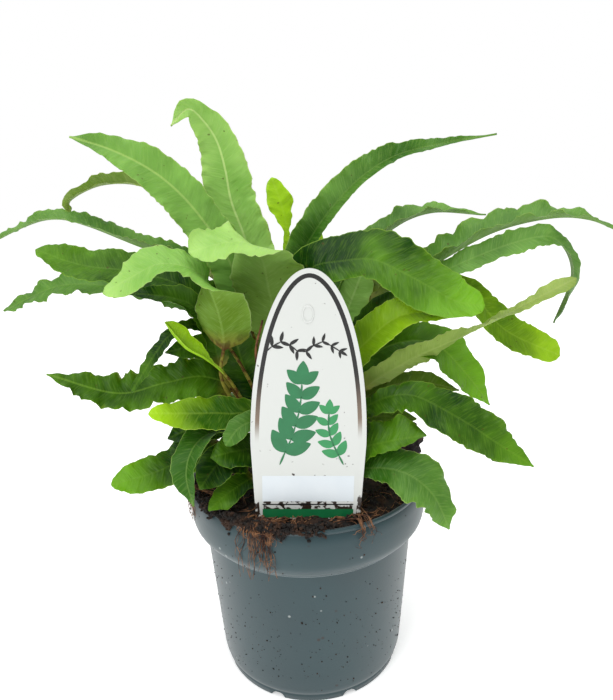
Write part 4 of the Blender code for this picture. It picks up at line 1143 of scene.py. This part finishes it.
def label_outline():
    """Arch-topped outline of the label with a pointed stake, in x and z."""
    right = [LABEL_POINT, LABEL_NECK]
    arch = []
    for step in range(ARCH_POINTS + 1):
        angle = math.pi * step / ARCH_POINTS
        height = LABEL_ARCH_FOOT + LABEL_ARCH_HEIGHT * math.sin(angle)
        arch.append((LABEL_HALF_WIDTH * math.cos(angle), height))
    left = [(-x, z) for x, z in reversed(right)]
    return right + arch + left


def label_place():
    """Where the label stands: its own x and z, and a y that points away from the viewer, leaned a little."""
    neck = LABEL_NECK[1]
    return (Matrix.Translation((0.0, LABEL_Y, neck)) @ Matrix.Rotation(LABEL_LEAN, 4, "Y")
            @ Matrix.Translation((0.0, 0.0, -neck)))


def make_label(plastic, border_ink):
    """Die-cut label with its printed border line."""
    bm = bmesh.new()
    verts = [bm.verts.new((x, -LABEL_THICKNESS / 2, z)) for x, z in label_outline()]
    face = bm.faces.new(verts)
    if face.normal.y > 0:
        face.normal_flip()
    face.normal_update()
    back = bmesh.ops.extrude_face_region(bm, geom=[face])
    moved = [item for item in back["geom"] if isinstance(item, bmesh.types.BMVert)]
    bmesh.ops.translate(bm, vec=(0.0, LABEL_THICKNESS, 0.0), verts=moved)
    bmesh.ops.recalc_face_normals(bm, faces=bm.faces)
    bm.faces.ensure_lookup_table()
    printed = min(bm.faces, key=lambda item: item.calc_center_median().y - len(item.verts))
    bmesh.ops.inset_region(bm, faces=[printed], thickness=BORDER_INSET, use_even_offset=True)
    line = bmesh.ops.inset_region(bm, faces=[printed], thickness=BORDER_WIDTH, use_even_offset=True)
    for ring_face in line["faces"]:
        ring_face.material_index = 1
    bmesh.ops.transform(bm, matrix=label_place(), verts=bm.verts)
    keep(bm, "label", [plastic, border_ink], "label_plastic", "plant_label", smooth=False)


def make_hole_ring(plastic):
    """Raised oval bead pressed round the label's hanging hole."""
    bm = bmesh.new()
    bead = bmesh.ops.create_circle(bm, segments=10, radius=RING_BEAD)
    bmesh.ops.translate(bm, vec=(RING_RADIUS, 0.0, 0.0), verts=bead["verts"])
    bmesh.ops.rotate(bm, matrix=Matrix.Rotation(math.pi / 2, 3, "X"), verts=bead["verts"])
    bmesh.ops.spin(bm, geom=list(bm.verts) + list(bm.edges), cent=(0, 0, 0), axis=(0, 0, 1), angle=math.tau,
                   steps=64, use_merge=True)
    bmesh.ops.rotate(bm, matrix=Matrix.Rotation(math.pi / 2, 3, "X"), verts=bm.verts)
    bmesh.ops.scale(bm, vec=(1.0, 1.0, RING_STRETCH), verts=bm.verts)
    bmesh.ops.translate(bm, vec=(RING_X, -LABEL_THICKNESS / 2, RING_Z), verts=bm.verts)
    bmesh.ops.recalc_face_normals(bm, faces=bm.faces)
    bmesh.ops.transform(bm, matrix=label_place(), verts=bm.verts)
    keep(bm, "label_hole_ring", [plastic], "label_plastic")


def printed_leaf(bm, foot, angle, length, width, depth):
    """A pointed oval leaf of ink with its foot at x and z, set a depth out from the label's front."""
    blank = bmesh.ops.create_circle(bm, cap_ends=True, segments=28, radius=1.0)
    turn = Matrix.Rotation(-angle, 4, "Y")
    for vert in blank["verts"]:
        x, z = vert.co.x, vert.co.y
        belly = z * (1.0 - 0.25 * x) * (1.0 - 0.45 * abs(x) ** 3)
        flat = Vector(((x + 1.0) * length / 2, -depth, belly * width / 2))
        vert.co = turn @ flat + Vector((foot[0], 0.0, foot[1]))


def sprig(stem_points, leaf_length, leaf_width, leaf_spacing):
    """A stem's line, and foot, direction, length and width of the leaves in pairs along it and at its end."""
    line, _ = smooth_line([Vector((x, 0.0, z)) for x, z in stem_points], leaf_spacing)
    leaves = []
    for index in range(1, len(line)):
        here = line[index]
        ahead = here - line[index - 1]
        course = math.atan2(ahead.z, ahead.x)
        size = 1.0 - 0.35 * index / len(line)
        for side in (-1, 1):
            leaves.append(((here.x, here.z), course + side * 0.85, leaf_length * size, leaf_width * size))
    leaves.append(((here.x, here.z), course, leaf_length * 0.8, leaf_width * 0.8))
    return line, leaves


def finish_print(bm, name, ink):
    """Give flat printed shapes the thickness of ink and lay them on the leaned label."""
    bm.normal_update()
    for face in bm.faces:
        if face.normal.y > 0:
            face.normal_flip()
    bm.normal_update()
    bmesh.ops.solidify(bm, geom=list(bm.faces), thickness=INK_FILM)
    bmesh.ops.recalc_face_normals(bm, faces=bm.faces)
    bmesh.ops.translate(bm, vec=(0.0, -LABEL_THICKNESS / 2 - INK_FILM, 0.0), verts=bm.verts)
    bmesh.ops.transform(bm, matrix=label_place(), verts=bm.verts)
    keep(bm, name, [ink], "label_plastic", smooth=False)


def print_leaves(name, leaves, ink):
    """The leaves of a sprig, each a hair further out than the one before, so that they overlap cleanly."""
    bm = bmesh.new()
    for index, leaf in enumerate(leaves):
        printed_leaf(bm, *leaf, LEAF_STEP * index)
    finish_print(bm, name, ink)


def print_stems(name, lines, width, ink):
    """Stems, each a chain of narrow ovals along its line, that lie over the leaves."""
    bm = bmesh.new()
    for line in lines:
        for here, there in zip(line, line[1:]):
            ahead = there - here
            course = math.atan2(ahead.z, ahead.x)
            printed_leaf(bm, (here.x, here.z), course, ahead.length + 1.0, width, STEM_DEPTH)
    finish_print(bm, name, ink)


def print_bar(name, low, high, ink):
    """A plain bar of ink across the label, between two heights."""
    bm = bmesh.new()
    bmesh.ops.create_grid(bm, x_segments=24, y_segments=2, size=0.5)
    for vert in bm.verts:
        vert.co = Vector((vert.co.x * BAR_WIDTH, 0.0, (low + high) / 2 + vert.co.y * (high - low)))
    finish_print(bm, name, ink)


def print_label():
    """Plain leafy design on the label's front, each colour a film of ink."""
    green = ink_material("deep green ink", "#0C6236", "#1E7A48", 6.25)
    bright = ink_material("bright green ink", "#2F9455", "#1C7C44", 6.25)
    black = ink_material("black ink", "#050505", "#0C0C0C", 11.11)
    pale = ink_material("pale grey ink", "#C9D2D8", "#DCE2E5", 16.67)
    stem, leaves = sprig(*SPRIG)
    small_stem, small_leaves = sprig(*SMALL_SPRIG)
    vine, vine_leaves = sprig(*VINE)
    print_leaves("sprig_print", leaves, green)
    print_leaves("small_sprig_print", small_leaves, bright)
    print_leaves("vine_print", vine_leaves, black)
    print_stems("stem_print", [stem, small_stem], STEM_WIDTH, green)
    print_stems("vine_stem_print", [vine], VINE_STEM_WIDTH, black)
    print_bar("panel_print", *PALE_PANEL, pale)
    print_bar("rule_print", *BLACK_RULE, black)
    print_bar("foot_print", *GREEN_FOOT, green)


def make_stage():
    """Plain white floor, soft studio light from above and the front left, and the photograph's camera."""
    bm = bmesh.new()
    bmesh.ops.create_grid(bm, x_segments=2, y_segments=2, size=FLOOR_HALF_SIZE)
    mesh = bpy.data.meshes.new("floor")
    bm.to_mesh(mesh)
    bm.free()
    material, _, _ = new_material("white paper sweep", {
        "Base Color": "#FFFFFF", "Roughness": 0.9,
        "Emission Color": "#FFFFFF", "Emission Strength": FLOOR_GLOW,
    })
    mesh.materials.append(material)
    floor = bpy.data.objects.new("floor", mesh)
    bpy.context.scene.collection.objects.link(floor)

    world = bpy.data.worlds.new("white studio")
    world.use_nodes = True
    backdrop = world.node_tree.nodes["Background"]
    backdrop.inputs["Color"].default_value = linear("#FFFFFF")
    seen = add_node(world.node_tree, "LightPath", {}, "Is Camera Ray")
    strength = add_node(world.node_tree, "MapRange", {"Value": seen, "To Min": ROOM_LIGHT, "To Max": 1.0})
    world.node_tree.links.new(strength, backdrop.inputs["Strength"])
    bpy.context.scene.world = world
    for name, place, size, power in SOFTBOXES:
        light = bpy.data.lights.new(name, "AREA")
        light.size = size
        light.energy = power
        lamp = bpy.data.objects.new(name, light)
        lamp.location = place
        lamp.rotation_euler = (Vector(LIGHT_AIM) - Vector(place)).to_track_quat("-Z", "Y").to_euler()
        bpy.context.scene.collection.objects.link(lamp)

    camera = bpy.data.cameras.new("camera")
    camera.sensor_width = SENSOR
    camera.lens = FOCAL_PIXELS / PICTURE_HEIGHT_PIXELS * SENSOR
    camera.clip_start = 0.01
    viewer = bpy.data.objects.new("camera", camera)
    viewer.matrix_world = (Matrix.Translation(Vector(CAMERA_PLACE) * MM)
                           @ Matrix.Rotation(math.pi / 2 - CAMERA_PITCH, 4, "X")
                           @ Matrix.Rotation(-CAMERA_ROLL, 4, "Z"))
    bpy.context.scene.collection.objects.link(viewer)
    bpy.context.scene.camera = viewer
    bpy.context.scene.view_settings.view_transform = "Standard"


def main():
    rng = random.Random(7)
    # Each green: its painted lit colour, its painted shaded colour, underside, midrib and vein strength
    leaves = {
        "pale": leaf_material("pale waxy frond", "#A2CC6C", "#5C962C", "#5E8018", "#BAD684", 0.12),
        "mid": leaf_material("green waxy frond", "#78A84A", "#2F5C12", "#4F7220", "#9FBF66", 0.12),
        "dark": leaf_material("deep green waxy frond", "#6CA41C", "#103600", "#3A5E10", "#7FA838", 0.14),
        "olive": leaf_material("olive underside of a frond", "#9DB35C", "#55721A", "#6F8A34", "#B4BE76",
                               0.10),
        "lime": leaf_material("young translucent frond", "#A2D01C", "#2C5802", "#5E9010", "#BADB58", 0.10),
    }
    peat = peat_material()
    roots = fibre_material("dry reddish root", "#8A6040", "#34190D", 0.85)
    scales = fibre_material("papery brown scale", "#8A5A33", "#4A2B16", 0.7)
    rhizome = fibre_material("scaly brown rhizome", "#5B3A22", "#2A190F", 0.9)
    polystyrene = label_material()
    make_pot(pot_material())
    make_peat(peat)
    scatter_crumbs("peat_crumbs", loose_peat(rng), peat, rng)
    scatter_crumbs("specks_on_pot", pot_specks(rng), peat, rng)
    make_crown(rhizome, scales, rng)
    surface_fibres(roots, rng)
    for tuft in TUFTS:
        hanging_tuft(*tuft, roots, rng)
    make_label(polystyrene, border_material())
    make_hole_ring(polystyrene)
    print_label()
    make_peat_clump(peat)
    make_dead_stipe(scales)
    for frond in FRONDS:
        grow_frond(frond, leaves)
    for entry in FAR_FRONDS:
        grow_frond(far_frond(*entry), leaves)
    make_stage()


main()
